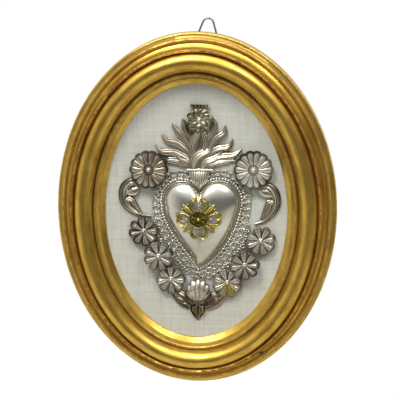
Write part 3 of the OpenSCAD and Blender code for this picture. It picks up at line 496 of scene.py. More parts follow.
def goldLeafFinish(s):
    mat, tree, shader = newMaterial("goldLeaf")
    ring = add(tree, "ShaderNodeAttribute", attribute_name="ringMap").outputs["Vector"]
    brushed = add(tree, "ShaderNodeMapping", {"Vector": ring, "Scale": (5.0, 5.0, 900.0)}).outputs[0]
    streak = noiseOf(tree, brushed, 1.6, 3.0, 0.6)
    broad = add(tree, "ShaderNodeMapping", {"Vector": ring, "Scale": (3.0, 3.0, 160.0)}).outputs[0]
    band = noiseOf(tree, broad, 1.5, 3.0, 0.6)
    cloud = noiseOf(tree, objectPlace(tree), 42.0, 5.0, 0.6)
    mottle = noiseOf(tree, objectPlace(tree), 260.0, 4.0, 0.65)
    tone = maths(tree, "ADD", spreadOf(tree, streak, 1.5), spreadOf(tree, band, 1.6))
    tone = maths(tree, "ADD", tone, spreadOf(tree, mottle, 0.7))
    tone = maths(tree, "ADD", tone, 0.32, clamp=True)
    gold = blend(tree, tone, (*s["bright"], 1), (*s["deep"], 1))
    thin = maths(tree, "ADD", cloud, maths(tree, "MULTIPLY", streak, 0.3))
    thin = maths(tree, "MULTIPLY", maths(tree, "SUBTRACT", thin, 0.66), 3.2, clamp=True)
    gold = blend(tree, maths(tree, "MULTIPLY", thin, 0.6), gold, (*s["thin"], 1))
    # The grooves are painted dark: shade with the grime that gathers there
    hollow = add(tree, "ShaderNodeAttribute", attribute_name="hollow").outputs["Fac"]
    depth = maths(tree, "ADD", hollow, spreadOf(tree, cloud, 0.5), clamp=True)
    dirtAndShade = blend(tree, maths(tree, "MULTIPLY", depth, 0.92), gold, (*s["groove"], 1))
    rubbed = add(tree, "ShaderNodeAttribute", attribute_name="rubbed").outputs["Fac"]
    worn = maths(tree, "ADD", maths(tree, "MULTIPLY", mottle, 4.0), -1.35)
    worn = maths(tree, "MULTIPLY", rubbed, worn, clamp=True)
    tree.links.new(blend(tree, worn, dirtAndShade, (*s["bole"], 1)), shader["Base Color"])
    covered = maths(tree, "MULTIPLY", maths(tree, "MAXIMUM", worn, depth), 0.75)
    tree.links.new(maths(tree, "SUBTRACT", 1.0, covered), shader["Metallic"])
    rough = maths(tree, "ADD", s["rough"], maths(tree, "MULTIPLY", maths(tree, "ADD", streak, mottle), 0.14))
    tree.links.new(maths(tree, "ADD", rough, maths(tree, "MULTIPLY", worn, 0.3)), shader["Roughness"])
    height = maths(tree, "ADD", maths(tree, "MULTIPLY", streak, 1.2), mottle)
    bump = add(tree, "ShaderNodeBump", {"Strength": 0.3, "Distance": 0.00025, "Height": height})
    tree.links.new(bump.outputs["Normal"], shader["Normal"])
    return mat


finish["goldLeaf"] = goldLeafFinish(leafSet)
print("finishes mixed")


# Geometry trees: an oval sweep, a ring of petals and a row along a path
def shapeTree(name, sockets):
    tree = bpy.data.node_groups.new(name, "GeometryNodeTree")
    tree.interface.new_socket("Geometry", in_out="INPUT", socket_type="NodeSocketGeometry")
    for label, kind, value in sockets:
        socket = tree.interface.new_socket(label, in_out="INPUT", socket_type=kind)
        if value is not None:
            socket.default_value = value
    tree.interface.new_socket("Finish", in_out="INPUT", socket_type="NodeSocketMaterial")
    tree.interface.new_socket("Geometry", in_out="OUTPUT", socket_type="NodeSocketGeometry")
    return tree, tree.nodes.new("NodeGroupInput").outputs


def endTree(tree, given, geometry):
    real = add(tree, "GeometryNodeRealizeInstances", {0: geometry})
    dressed = add(tree, "GeometryNodeSetMaterial", {"Geometry": real.outputs[0], "Material": given["Finish"]})
    tree.links.new(dressed.outputs[0], tree.nodes.new("NodeGroupOutput").inputs[0])
    return tree


def runTree(obj, tree, values, name=None):
    modifier = obj.modifiers.new(tree.name, "NODES")
    modifier.node_group = tree
    for item in tree.interface.items_tree:
        if item.item_type == "SOCKET" and item.in_out == "INPUT" and item.name in values:
            modifier[item.identifier] = values[item.name]
    bpy.context.view_layer.update()
    mesh = bpy.data.meshes.new_from_object(obj.evaluated_get(bpy.context.evaluated_depsgraph_get()))
    obj.modifiers.remove(modifier)
    made = newObject(name or obj.name, mesh)
    bpy.data.objects.remove(obj, do_unlink=True)
    return made


def makeSweepTree():   # sweeps the section's points round an oval, one row of the grid a place on the oval
    tree, given = shapeTree("ovalSweep", [
        ("Half Width", "NodeSocketFloat", 0.06), ("Half Height", "NodeSocketFloat", 0.09),
        ("Segments", "NodeSocketInt", 320), ("Centre", "NodeSocketVector", None)])
    size = add(tree, "GeometryNodeAttributeDomainSize", {0: given["Geometry"]}, component="MESH")
    count = size.outputs["Point Count"]
    grid = add(tree, "GeometryNodeMeshGrid", {"Vertices X": maths(tree, "ADD", given["Segments"], 1.0),
                                              "Vertices Y": count}).outputs["Mesh"]
    index = add(tree, "GeometryNodeInputIndex").outputs[0]
    row = maths(tree, "FLOOR", maths(tree, "DIVIDE", maths(tree, "ADD", index, 0.5), count))
    place = maths(tree, "SUBTRACT", index, maths(tree, "MULTIPLY", row, count))
    here = add(tree, "GeometryNodeInputPosition").outputs[0]
    sample = add(tree, "GeometryNodeSampleIndex", {"Geometry": given["Geometry"]}, data_type="FLOAT_VECTOR",
                 domain="POINT")
    tree.links.new(here, sample.inputs["Value"])
    tree.links.new(place, sample.inputs["Index"])
    section = add(tree, "ShaderNodeSeparateXYZ", {0: sample.outputs[0]}).outputs
    angle = maths(tree, "MULTIPLY", maths(tree, "DIVIDE", row, given["Segments"]), 2 * math.pi)
    reach = [maths(tree, "ADD", given[label], section["X"]) for label in ("Half Width", "Half Height")]
    x = maths(tree, "MULTIPLY", reach[0], maths(tree, "COSINE", angle))
    z = maths(tree, "MULTIPLY", reach[1], maths(tree, "SINE", angle))
    y = maths(tree, "MULTIPLY", section["Z"], -1.0)
    spot = add(tree, "ShaderNodeCombineXYZ", {0: x, 1: y, 2: z}).outputs[0]
    moved = add(tree, "ShaderNodeVectorMath", {0: spot, 1: given["Centre"]}, operation="ADD").outputs[0]
    bent = add(tree, "GeometryNodeSetPosition", {"Geometry": grid, "Position": moved}).outputs[0]
    welded = add(tree, "GeometryNodeMergeByDistance", {"Geometry": bent, "Distance": 1e-6}).outputs[0]
    return endTree(tree, given, welded)


def makeRingTree():   # copies a petal round a centre and sets the hub in their middle
    tree, given = shapeTree("petalRing", [
        ("Count", "NodeSocketInt", 8), ("Start", "NodeSocketFloat", 0.0),
        ("Hub", "NodeSocketObject", None), ("Centre", "NodeSocketVector", None)])
    line = add(tree, "GeometryNodeMeshLine", {"Count": given["Count"], "Offset": (0.0, 0.0, 0.0)}).outputs[0]
    step = maths(tree, "DIVIDE", 2 * math.pi, given["Count"])
    angle = maths(tree, "ADD", maths(tree, "MULTIPLY", add(tree, "GeometryNodeInputIndex").outputs[0], step),
                  given["Start"])
    turn = add(tree, "FunctionNodeAxisAngleToRotation", {"Axis": (0.0, -1.0, 0.0), "Angle": angle}).outputs[0]
    petals = add(tree, "GeometryNodeInstanceOnPoints", {"Points": line, "Instance": given["Geometry"],
                                                        "Rotation": turn}).outputs[0]
    hub = add(tree, "GeometryNodeObjectInfo", {"Object": given["Hub"]}).outputs["Geometry"]
    whole = add(tree, "GeometryNodeJoinGeometry")
    tree.links.new(petals, whole.inputs[0])
    tree.links.new(hub, whole.inputs[0])
    placed = add(tree, "GeometryNodeTransform", {"Geometry": whole.outputs[0],
                                                 "Translation": given["Centre"]})
    return endTree(tree, given, placed.outputs[0])


def makeRowTree():   # sets a part out along a path, turned to follow it, each a little larger or smaller
    tree, given = shapeTree("rowAlongPath", [
        ("Part", "NodeSocketObject", None), ("Count", "NodeSocketInt", 20),
        ("Spread", "NodeSocketFloat", 0.1), ("Seed", "NodeSocketInt", 3)])
    curve = add(tree, "GeometryNodeMeshToCurve", {"Mesh": given["Geometry"]}).outputs[0]
    spaced = add(tree, "GeometryNodeResampleCurve", {"Curve": curve, "Count": given["Count"]}).outputs[0]
    tangent = add(tree, "GeometryNodeInputTangent").outputs[0]
    turn = add(tree, "FunctionNodeAlignRotationToVector", {"Vector": tangent}, axis="X", pivot_axis="Y")
    least = maths(tree, "SUBTRACT", 1.0, given["Spread"])
    most = maths(tree, "ADD", 1.0, given["Spread"])
    chance = add(tree, "FunctionNodeRandomValue", {2: least, 3: most, "Seed": given["Seed"]})
    part = add(tree, "GeometryNodeObjectInfo", {"Object": given["Part"]}).outputs["Geometry"]
    row = add(tree, "GeometryNodeInstanceOnPoints", {"Points": spaced, "Instance": part,
                                                     "Rotation": turn.outputs[0],
                                                     "Scale": chance.outputs["Value"]}).outputs[0]
    return endTree(tree, given, row)


sweepTree = makeSweepTree()
ringTree = makeRingTree()
rowTree = makeRowTree()


def joinPieces(name, pieces):
    for piece in pieces:
        piece.select_set(True)
    with bpy.context.temp_override(active_object=pieces[0], object=pieces[0], selected_objects=pieces,
                                   selected_editable_objects=pieces):
        bpy.ops.object.join()
    pieces[0].name = name
    pieces[0].data.name = name
    return pieces[0]


def dress(obj, material):
    obj.data.materials.clear()
    obj.data.materials.append(material)


def register(obj, slot, *nodes, body="frame"):
    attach(obj, body)
    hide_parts(*nodes)


# Moulding
mouldingSet = {"width": 33.5, "crown": 22.4, "lip": 3.0, "rebate": 8.6, "segments": 360, "wobble": 0.07,
               "nicks": [(-56.6, 80.9, 2.2, 0.8), (-49.6, 63.7, 1.3, 0.5), (60.6, 31.7, 1.4, 0.5),
                         (-28.6, -104.0, 2.6, 0.4), (-14.2, -91.6, 1.0, 0.6), (44.8, -96.4, 1.8, 0.4)],
               "play": 0.5, "swingRoom": 2.2, "footRoom": 4.4, "sharp": 32}
sightHalf = np.array([(mouldingHigh.x - midX) / mm, (mouldingHigh.z - midZ) / mm]) - mouldingSet["width"]


def arc(centre, radii, start, end, count):
    angles = np.radians(np.linspace(start, end, count))
    return [(centre[0] + radii[0] * math.cos(a), centre[1] + radii[1] * math.sin(a)) for a in angles]


def run(a, b, count):
    return [(a[0] + (b[0] - a[0]) * k / count, a[1] + (b[1] - a[1]) * k / count) for k in range(count)]


def mouldingSection(s):   # from the sight edge outwards, as shares of the width and of the crown's height
    face = (run((0, 0.44), (0.1, 0.56), 5) + run((0.1, 0.56), (0.11, 0.6), 2)
            + arc((0.175, 0.68), (0.035, 0.045), 170, 10, 9) + [(0.218, 0.7)]
            + arc((0.415, 0.66), (0.19, 0.34), 165, 22, 30)
            + [(0.6, 0.805), (0.603, 0.835), (0.614, 0.875), (0.632, 0.9), (0.648, 0.893), (0.657, 0.87)]
            + arc((0.81, 0.84), (0.15, 0.29), 190, 258, 14)[1:] + arc((0.83, 0.56), (0.035, 0.05), 120, 0, 9)
            + run((0.87, 0.5), (0.9, 0.45), 3) + arc((0.94, 0.37), (0.045, 0.08), 100, -10, 9)
            + run((0.99, 0.34), (1, 0.16), 4) + [(1, 0.16)])
    front = [(w * s["width"], h * s["crown"]) for w, h in face]
    back = run((s["width"], 0.0), (s["lip"], 0.0), 6) + run((s["lip"], 0.0), (s["lip"], s["rebate"]), 4)
    back += [(s["lip"], s["rebate"]), (0.0, s["rebate"])]
    return front + back, len(front)


def boxCutter(low, high):
    corners = [(x, y, h) for x in (low[0], high[0]) for y in (low[1], high[1]) for h in (low[2], high[2])]
    faces = [(0, 1, 3, 2), (4, 6, 7, 5), (0, 4, 5, 1), (2, 3, 7, 6), (0, 2, 6, 4), (1, 5, 7, 3)]
    return newObject("cutter", meshFrom("cutter", onFace(corners), faces))


def cutWith(obj, cutters):
    for cutter in cutters:
        modifier = obj.modifiers.new("cut", "BOOLEAN")
        modifier.object = cutter
        modifier.operation = "DIFFERENCE"
        modifier.solver = "EXACT"
    bpy.context.view_layer.update()
    mesh = bpy.data.meshes.new_from_object(obj.evaluated_get(bpy.context.evaluated_depsgraph_get()))
    obj.modifiers.clear()
    obj.data = mesh
    mesh.polygons.foreach_set("material_index", np.zeros(len(mesh.polygons), np.int32))
    for cutter in cutters:
        bpy.data.objects.remove(cutter, do_unlink=True)
    return obj


def ringPlaces(mesh, half):   # each point's distance outside the sight edge, its turn and its height
    p = np.empty(len(mesh.vertices) * 3)
    mesh.vertices.foreach_get("co", p)
    p = p.reshape(-1, 3)
    x, y, h = (p[:, 0] - midX) / mm, (p[:, 2] - midZ) / mm, -p[:, 1] / mm
    low, high = np.full(len(x), -20.0), np.full(len(x), 60.0)
    for step in range(40):
        w = (low + high) / 2
        outside = (x / (half[0] + w)) ** 2 + (y / (half[1] + w)) ** 2 > 1
        low, high = np.where(outside, w, low), np.where(outside, high, w)
    return p, w, np.arctan2(y / (half[1] + w), x / (half[0] + w)), h


def makeMoulding(s):
    section, frontCount = mouldingSection(s)
    points = [(w * mm, 0.0, h * mm) for w, h in section] + [(section[0][0] * mm, 0.0, section[0][1] * mm)]
    mesh = bpy.data.meshes.new("section")
    mesh.from_pydata(points, [(i, i + 1) for i in range(len(points) - 1)], [])
    obj = runTree(newObject("section", mesh), sweepTree,
                  {"Half Width": sightHalf[0] * mm, "Half Height": sightHalf[1] * mm,
                   "Segments": s["segments"], "Centre": (midX, 0.0, midZ), "Finish": finish["goldLeaf"]},
                  "gilt_moulding")
    finishShape(obj.data, s["sharp"])
    # Hand-made unevenness and the knocks of age, on the front only
    p, w, turn, h = ringPlaces(obj.data, sightHalf)
    front = np.clip((h - 9.5) / 3, 0, 1)
    waves = np.sin(5 * turn + 0.13 * w) + 0.6 * np.sin(13 * turn + 1.0 + 0.31 * w)
    push = s["wobble"] * front * waves - s["wobble"]
    x, y = (p[:, 0] - midX) / mm, (p[:, 2] - midZ) / mm
    for nickX, nickY, reach, depth in s["nicks"]:
        push -= front * depth * np.exp(-(((x - nickX) ** 2 + (y - nickY) ** 2) / reach ** 2) ** 1.5)
    p[:, 1] -= push * front * mm
    obj.data.vertices.foreach_set("co", p.ravel())
    plateLow, plateHigh = nodeSpan("hanger_plate")
    wireLow, wireHigh = nodeSpan("hanger_wire")
    play, side = s["play"], s["swingRoom"]   # both rooms run out past the back, and the wire's past the top
    wireRoom = boxCutter((wireLow[0] - play - side, wireLow[1] - s["footRoom"], -1),
                         (wireHigh[0] + play + side, 150, wireHigh[2] + play))
    plateRoom = boxCutter((plateLow[0] - play, plateLow[1] - play, -1),
                          (plateHigh[0] + play, plateHigh[1] + play, plateHigh[2] + 0.05))
    cutWith(obj, [wireRoom, plateRoom])
    dress(obj, finish["goldLeaf"])
    markMoulding(obj, section[:frontCount], s)
    return obj


def markMoulding(obj, front, s):   # recesses painted dark as shade with grime, rubbed edges and the brush direction, from the section
    profile = np.array(front)
    length = np.concatenate([[0], np.cumsum(np.linalg.norm(np.diff(profile, axis=0), axis=1))])
    fine = np.linspace(0, length[-1], 500)
    fineW, fineH = np.interp(fine, length, profile[:, 0]), np.interp(fine, length, profile[:, 1])
    reach = 9
    crest = np.zeros(500)
    for k in range(500):
        a, b = max(k - reach, 0), min(k + reach, 499)
        chord = np.array([fineW[b] - fineW[a], fineH[b] - fineH[a]])
        lift = chord[0] * (fineH[k] - fineH[a]) - chord[1] * (fineW[k] - fineW[a])
        crest[k] = lift / np.linalg.norm(chord)
    p, w, turn, h = ringPlaces(obj.data, sightHalf)
    nearest = np.empty(len(w), int)
    for start in range(0, len(w), 4000):
        piece = slice(start, start + 4000)
        nearest[piece] = np.argmin((w[piece, None] - fineW) ** 2 + (h[piece, None] - fineH) ** 2, axis=1)
    off = (w - fineW[nearest]) ** 2 + (h - fineH[nearest]) ** 2 > 4
    hollow = np.clip(-crest[nearest] * 2.6 - 0.22, 0, 1)
    cove = np.clip(1 - np.abs(w / s["width"] - 0.73) / 0.09, 0, 1)   # the wide outer cove is kept bright as a painted highlight, free of the painted groove shade
    hollow = np.maximum(hollow * (1 - 0.85 * np.minimum(1, 2 * cove)), np.clip((7.5 - h) / 3, 0, 1))
    hollow[off] = 1
    rubbed = np.clip((crest[nearest] - 0.22) * 2.5, 0, 1)
    x, y = (p[:, 0] - midX) / mm, (p[:, 2] - midZ) / mm
    for nickX, nickY, size, depth in s["nicks"]:
        rubbed = np.maximum(rubbed, np.exp(-((x - nickX) ** 2 + (y - nickY) ** 2) / size ** 2))
    for name, values in (("hollow", hollow), ("rubbed", rubbed)):
        layer = obj.data.attributes.new(name, "FLOAT", "POINT")
        layer.data.foreach_set("value", values.astype(np.float32))
    ringMap = np.column_stack([np.cos(turn), np.sin(turn), fine[nearest] * mm])
    layer = obj.data.attributes.new("ringMap", "FLOAT_VECTOR", "POINT")
    layer.data.foreach_set("vector", ringMap.ravel().astype(np.float32))
    obj.data.shade_smooth()
    obj.data.set_sharp_from_angle(angle=math.radians(s["sharp"]))


moulding = makeMoulding(mouldingSet)
register(moulding, "gilt_wood", "frame_moulding")
print("moulding swept", len(moulding.data.polygons))


# Linen, stretched over the board and turned over its back edge
def makeLinen(s):
    low, high = nodeSpan("linen_cover")
    boardTop = nodeSpan("mount_board")[1][2]
    half = (high[:2] - low[:2]) / 2
    top, back = high[2], low[2]
    thick, turned = top - boardTop, s["turned"]
    turns = 2 * math.pi * np.arange(s["around"]) / s["around"]

    def hoop(reach, levels):
        return [(reach[0] * math.cos(a), reach[1] * math.sin(a), level, 0.0)
                for a, level in zip(turns, levels)]

    rows = []
    for part in np.concatenate([[0.0], np.linspace(0.04, 0.97, 26)]):
        rows.append(hoop(half * part, [top - wave(part, a, s["wave"]) for a in turns]))
    for inset, level in ((0.5, top), (0.12, top - 0.12), (0.0, top - 0.5), (0.0, back + 0.5),
                         (0.15, back + 0.12), (0.6, back), (turned / 2, back), (turned, back),
                         (turned, back + thick), (thick, back + thick), (thick, boardTop)):
        rows.append(hoop(half - inset, [level] * len(turns)))
    rows.append(hoop((half - thick) * 0.01, [boardTop] * len(turns)))
    return Casting().add(loft(rows)).make("linen_ground", 60)


def wave(part, angle, depth):   # the cloth is a little slack between its pins
    ripple = 0.5 + 0.3 * math.sin(3 * angle + 5 * part) + 0.2 * math.sin(7 * angle - 4 * part)
    return depth * (1 - part ** 4) * ripple


linen = makeLinen(linenSet)
dress(linen, finish["linen"])
register(linen, "linen", "linen_cover")
print("linen stretched")


# Heart: its fold line is two lobe arcs and two curved sides that meet at the tip
votiveSet = {"middle": (2.6, -0.3), "height": 150.0}
heartSet = {"leftLobe": (-7.2, 6.3), "rightLobe": (8.3, 5.8), "leftRadius": 7.9, "rightRadius": 8.8,
            "tip": (-0.7, -23.2), "leftSide": [(-15.4, -3.2), (-4.4, -14.5)],
            "rightSide": [(14.2, -10), (4.6, -21.6)], "middle": (0.3, -0.5),
            "foot": 1.1, "rise": 8.4, "flangeTop": 10.2, "sheetTop": 9.4}


def spot(share):
    return (votiveSet["middle"][0] + share[0] * votiveSet["height"] / 100,
            votiveSet["middle"][1] + share[1] * votiveSet["height"] / 100)


def spots(shares):
    return [spot(s) for s in shares]


def bow(a, handles, b, t):   # a side, drawn from the lobe to the tip by two handles
    weights = ((1 - t) ** 3, 3 * t * (1 - t) ** 2, 3 * t * t * (1 - t), t ** 3)
    return tuple(sum(w * p[k] for w, p in zip(weights, (a, *handles, b))) for k in (0, 1))


def lobeArc(centre, radius, start, end):
    return [(centre[0] + radius * math.cos(a), centre[1] + radius * math.sin(a))
            for a in np.radians(np.linspace(start, end, 44))]


def cleftTurn(here, other, apart):
    return math.degrees(math.acos((here ** 2 + apart ** 2 - other ** 2) / (2 * here * apart)))


def heartFold(s):
    line = np.subtract(s["rightLobe"], s["leftLobe"])
    apart, tilt = np.linalg.norm(line), math.degrees(math.atan2(line[1], line[0]))
    big, small = s["rightRadius"], s["leftRadius"]
    left = lobeArc(s["leftLobe"], small, tilt + cleftTurn(small, big, apart), 200)
    right = lobeArc(s["rightLobe"], big, -5, 180 + tilt - cleftTurn(big, small, apart))
    down = [bow(left[-1], s["leftSide"], s["tip"], t) for t in np.linspace(0, 1, 40)[1:]]
    up = [bow(right[0], s["rightSide"], s["tip"], t) for t in np.linspace(1, 0, 40)[1:-1]]
    return np.array(spots(left + down + up + right[:-1]))


fold = heartFold(heartSet)
heartMid = np.array(spot(heartSet["middle"]))
foldReach = np.linalg.norm(fold - heartMid, axis=1)
foldBearing = np.unwrap(np.arctan2(fold[:, 1] - heartMid[1], fold[:, 0] - heartMid[0]))
order = np.argsort(foldBearing % (2 * math.pi))
bearingTable, reachTable = (foldBearing % (2 * math.pi))[order], foldReach[order]


def domeAt(part):
    return 0.0 if part >= 1 else (1 - part ** 2.6) ** 0.62


def domeLevel(x, y):
    v = np.array([x, y]) - heartMid
    reach = np.interp(math.atan2(v[1], v[0]) % (2 * math.pi), bearingTable, reachTable, period=2 * math.pi)
    return heartSet["flangeTop"] + heartSet["rise"] * domeAt(np.linalg.norm(v) / (reach + heartSet["foot"]))


def offsetFold(distance):   # the fold line, moved outwards
    out = fold - heartMid
    return fold + out / np.linalg.norm(out, axis=1)[:, None] * distance


def rowAt(line, level, dark):
    return np.column_stack([line, np.full(len(line), level), np.full(len(line), dark)])


def makeHeart(s):
    top, under = s["flangeTop"], s["sheetTop"]
    # The flange's foot and the sheet under it are painted dark as shade, and the crown of its raised rim is
    # left bright as a painted highlight
    rows = [rowAt(offsetFold(-3), under, 1.0)]
    for distance, level, dark in ((2.4, under, 0.5), (2.4, top - 0.25, 0.2), (2.3, top + 0.1, 0.0),
                                  (2.05, top + 0.26, 0.0), (1.75, top + 0.18, 0.0), (1.5, top, 0.2),
                                  (1.3, top - 0.08, 0.45)):
        rows.append(rowAt(offsetFold(distance), level, dark))
    edge = offsetFold(s["foot"])
    for part in np.concatenate([[0.997, 0.99, 0.98, 0.965, 0.95], np.linspace(0.93, 0.02, 44)]):
        ring = heartMid + part * (edge - heartMid)
        # The dome is painted darker in the crease at its foot, as shade, and darker towards the bottom
        low = np.clip((heartMid[1] - 6 - ring[:, 1]) / 14, 0, 1)
        dark = 0.35 * max(0.0, (part - 0.97) / 0.03) + 0.3 * low
        rows.append(rowAt(ring, top + s["rise"] * domeAt(part), dark))
    return Casting().add(loft(rows)).make("heart", 50)


heart = makeHeart(heartSet)
dress(heart, finish["polishedSilver"])
register(heart, "silver", "heart_shell")
print("heart raised")


# Grains and filigree, set out round the heart
# A row is (distance from the fold, part, pitch, lift). The deep rows stay where the border is wide enough.
filigreeSet = {"grain": 2.0, "grainOffset": 3.55, "base": 9.4, "sheet": 8.62, "wire": 0.4,
               "near": [(5.5, "ring", 3.8, 0.35), (6.7, "bead", 4.6, 0.8), (7.9, "loop", 4.9, 0.05),
                        (9.7, "bead", 4.9, 0.5)],
               "deep": [(11.2, "eyed", 4.6, 0.2), (12.9, "bead", 3.8, 0.7), (14.1, "ring", 3.8, 0.4),
                        (16.0, "loop", 4.9, 0.1)]}


def pathObject(points, level, closed):
    places = onFace([(x, y, level) for x, y in points])
    mesh = bpy.data.meshes.new("path")
    edges = [(i, i + 1) for i in range(len(points) - 1)] + ([(len(points) - 1, 0)] if closed else [])
    mesh.from_pydata([tuple(p) for p in places], edges, [])
    return newObject("path", mesh)


def pathLength(points, closed):
    p = np.asarray(points)
    total = np.linalg.norm(np.diff(p, axis=0), axis=1).sum()
    return total + (np.linalg.norm(p[0] - p[-1]) if closed else 0)


def setOut(name, part, points, level, pitch, closed, seed, spread=0.08):
    values = {"Part": part, "Count": max(2, round(pathLength(points, closed) / pitch)), "Spread": spread,
              "Seed": seed, "Finish": finish["filigreeSilver"]}
    return runTree(pathObject(points, level, closed), rowTree, values, name)


def beadShape(radius, flat=1.0, turns=14):
    # A bead is bright on its crown and painted darker towards its foot, as shade
    profile = [(radius * math.cos(a), radius * flat * math.sin(a), 0.85 * (1 - math.sin(a)) ** 1.5)
               for a in np.radians(np.linspace(0, 88, 7))]
    return revolve(profile, (0, 0, 0), turns)


def localPart(name, *shapes):
    casting = Casting()
    for shape in shapes:
        casting.add(shape)
    return casting.make(name, 50, place=False)


def bearingsOf(points):
    v = np.asarray(points) - heartMid
    return np.degrees(np.arctan2(v[:, 1], v[:, 0])) % 360


def borderWidth(bearing, low=188.0, high=352.0, side=9.6, wide=17.5):
    t = (bearing - low) / (high - low)
    return np.where((t <= 0) | (t >= 1), side, side + (wide - side) * np.abs(np.sin(2 * np.pi * t)) ** 0.4)


def makeFiligree(s):
    grainPart = localPart("grainPart", beadShape(s["grain"] / 2))
    grains = setOut("grain_row", grainPart, offsetFold(s["grainOffset"]), s["base"], s["grain"] + 0.06, True,
                    5, 0.05)
    bpy.data.objects.remove(grainPart, do_unlink=True)
    wire, level = s["wire"], s["sheet"]
    parts = {"ring": localPart("ringPart", torus(1.4, wire, 16)),
             "eyed": localPart("eyedPart", torus(1.85, wire, 18), beadShape(0.62, 1.1, 8)),
             "bead": localPart("beadPart", beadShape(0.72, 1.2, 10)),
             "loop": localPart("loopPart", torus(2.05, wire * 1.1, 22))}
    rows = []
    for k, (distance, part, pitch, lift) in enumerate(s["near"]):
        rows.append(setOut("row", parts[part], offsetFold(distance), level + lift, pitch, True, 10 + k))
    bearings = bearingsOf(fold)
    width = borderWidth(bearings)
    for k, (distance, part, pitch, lift) in enumerate(s["deep"]):
        inside = width > distance + 1.2
        for side in (bearings < 270, bearings >= 270):
            chosen = offsetFold(distance)[inside & side]
            if len(chosen) > 3:
                rows.append(setOut("row", parts[part], chosen, level + lift, pitch, False, 30 + k))
    # The band under the wires is painted near black, as the shade between them
    band = ((2.0, level, 1), (2.0, 9.35, 1), (4.7, 9.38, 0.9), (5.0, 9.2, 0.8), (5.0, level, 1),
            (2.0, level, 1))
    strip = [rowAt(offsetFold(distance), height, dark) for distance, height, dark in band]
    lace = Casting().add(loft(strip, closedEnds=False)).make("lace_band")
    dress(lace, finish["filigreeSilver"])
    for part in parts.values():
        bpy.data.objects.remove(part, do_unlink=True)
    return grains, joinPieces("filigree_lace", [lace] + rows)


grains, lace = makeFiligree(filigreeSet)
register(grains, "silver", "heart_grains")
register(lace, "silver", "filigree_border")
print("filigree set out", len(lace.data.polygons))


# Flames, with their front curls, and the neck and collar under them
flameSet = {"level": 8.75, "lap": 0.13, "rise": 1.7, "edge": 0.7, "widths": [1.6, 3.1, 3.5, 3.0, 0.25]}
leftFlames = [[(-2.2, 21.7), (-6, 23.2), (-10.2, 24.4), (-13.4, 24.8), (-15.9, 24.9)],
              [(-1.6, 21.7), (-5.4, 25.4), (-11.1, 28.2), (-16.4, 28.5), (-19.3, 31.8)],
              [(-1, 21.8), (-4.4, 28.2), (-9.7, 32.5), (-14.1, 33.5), (-16.7, 36.5)],
              [(-0.5, 22), (-4.1, 30.9), (-7.7, 35.9), (-9.7, 38.2), (-12.1, 41.1)],
              [(0, 22), (-3.1, 32.9), (-5.7, 38.2), (-6.4, 40.9), (-7.3, 43.7)]]
rightFlames = [[(2.9, 21.7), (5, 22.8), (8.6, 24.4), (12.4, 24.9), (16.3, 24.9)],
               [(2.4, 21.7), (4.8, 24.6), (9.6, 26.7), (15.6, 27.5), (19.1, 30.3)],
               [(1.8, 21.8), (4.9, 27.5), (8.9, 30.2), (13.3, 31.2), (15.1, 34.7)],
               [(1.3, 22), (4.9, 30.9), (8.3, 34.9), (11.3, 37.2), (11.7, 40.7)],
               [(0.8, 22), (3.9, 32.9), (5.9, 36.9), (6.9, 40.9), (6.1, 44.7)]]
frontFlames = [
    ([(-2.6, 21.6), (-1.8, 25.6), (1.2, 27.9), (4.6, 29.7), (5.6, 33.8)], [2.6, 4.8, 4.6, 3.0, 0.4], 0.9),
    ([(1.4, 21.6), (3.2, 24.2), (6.6, 25.6), (9.4, 27.6), (10.6, 30.6)], [2.2, 3.4, 3.6, 2.6, 0.4], 0.7),
    ([(-3.6, 21.6), (-5.4, 24.2), (-8.4, 25.6), (-10.6, 28.4)], [2.0, 2.8, 2.6, 0.4], 0.6),
    ([(-0.6, 26.5), (-2.4, 30.6), (-1.6, 34.6), (0.2, 38.2), (0.2, 42.6)], [2.4, 3.8, 3.6, 2.8, 0.8], 0.5),
    ([(1.8, 28.5), (3.4, 32.4), (2.6, 36.2), (1.4, 39.8)], [2.2, 3.2, 2.8, 0.6], 0.75)]


def scaled(values):
    return [v * votiveSet["height"] / 100 for v in values]


def makeFlames(s):
    casting = Casting()
    for first, flames in ((0, leftFlames), (1, rightFlames)):
        for k, flame in enumerate(flames):
            level = s["level"] + s["lap"] * (2 * first + k % 2)
            casting.add(tongue(spots(flame), scaled(s["widths"]), "flame", level, s["rise"], s["edge"], 7))
    casting.add(tongue(spots([(0.3, 18.8), (0.3, 21.4), (-0.2, 29.5), (0, 34.2), (0.3, 43.5)]),
                       scaled([7, 9.4, 7, 6.6, 3.6]), "flame", s["level"] - s["lap"], 0.8, s["edge"], 8))
    for path, widths, lift in frontFlames:
        casting.add(tongue(spots(path), scaled(widths), "flame", s["level"] + 0.4 + lift, 1.5, 0.5, 8))
    return casting.make("flame_tongues")


# A row is (drop below the collar, half width, lift)
neckSet = {"flutes": 9, "foot": (0.4, 0.3),
           "rows": [(0, 7.1, 0.3), (1.0, 7.1, 1.0), (2.6, 6.8, 1.7), (4.6, 6.3, 2.2), (6.8, 5.4, 2.3),
                    (9.0, 3.8, 1.9), (11.0, 2.2, 1.2)]}


def makeNeck(s):
    low = nodeSpan("crest_neck")[0]
    level = low[2]
    top = nodeSpan("neck_collar")[0][1] - 0.1
    centre = spot((0.2, 0))[0]
    flutes = s["flutes"]
    rows = []
    for y, half, lift in [(top - drop, *size) for drop, *size in s["rows"]] + [(low[1] + 0.2, *s["foot"])]:
        ring = []
        for u in np.linspace(-1, 1, flutes * 6 + 1):
            ridge = abs(math.cos(math.pi * flutes * u / 2))
            h = level + 0.5 + lift * (1 - u * u) + 0.45 * ridge * (1 - u ** 4)
            # The flute valleys and the sides are painted darker, as shade
            ring.append((centre + half * u, y, h, 0.75 * (1 - ridge) + 0.25 * u * u))
        ring += [(centre + half, y, level, 1), (centre - half, y, level, 1)]
        rows.append(ring)
    return Casting().add(loft(rows)).make("fluted_neck")


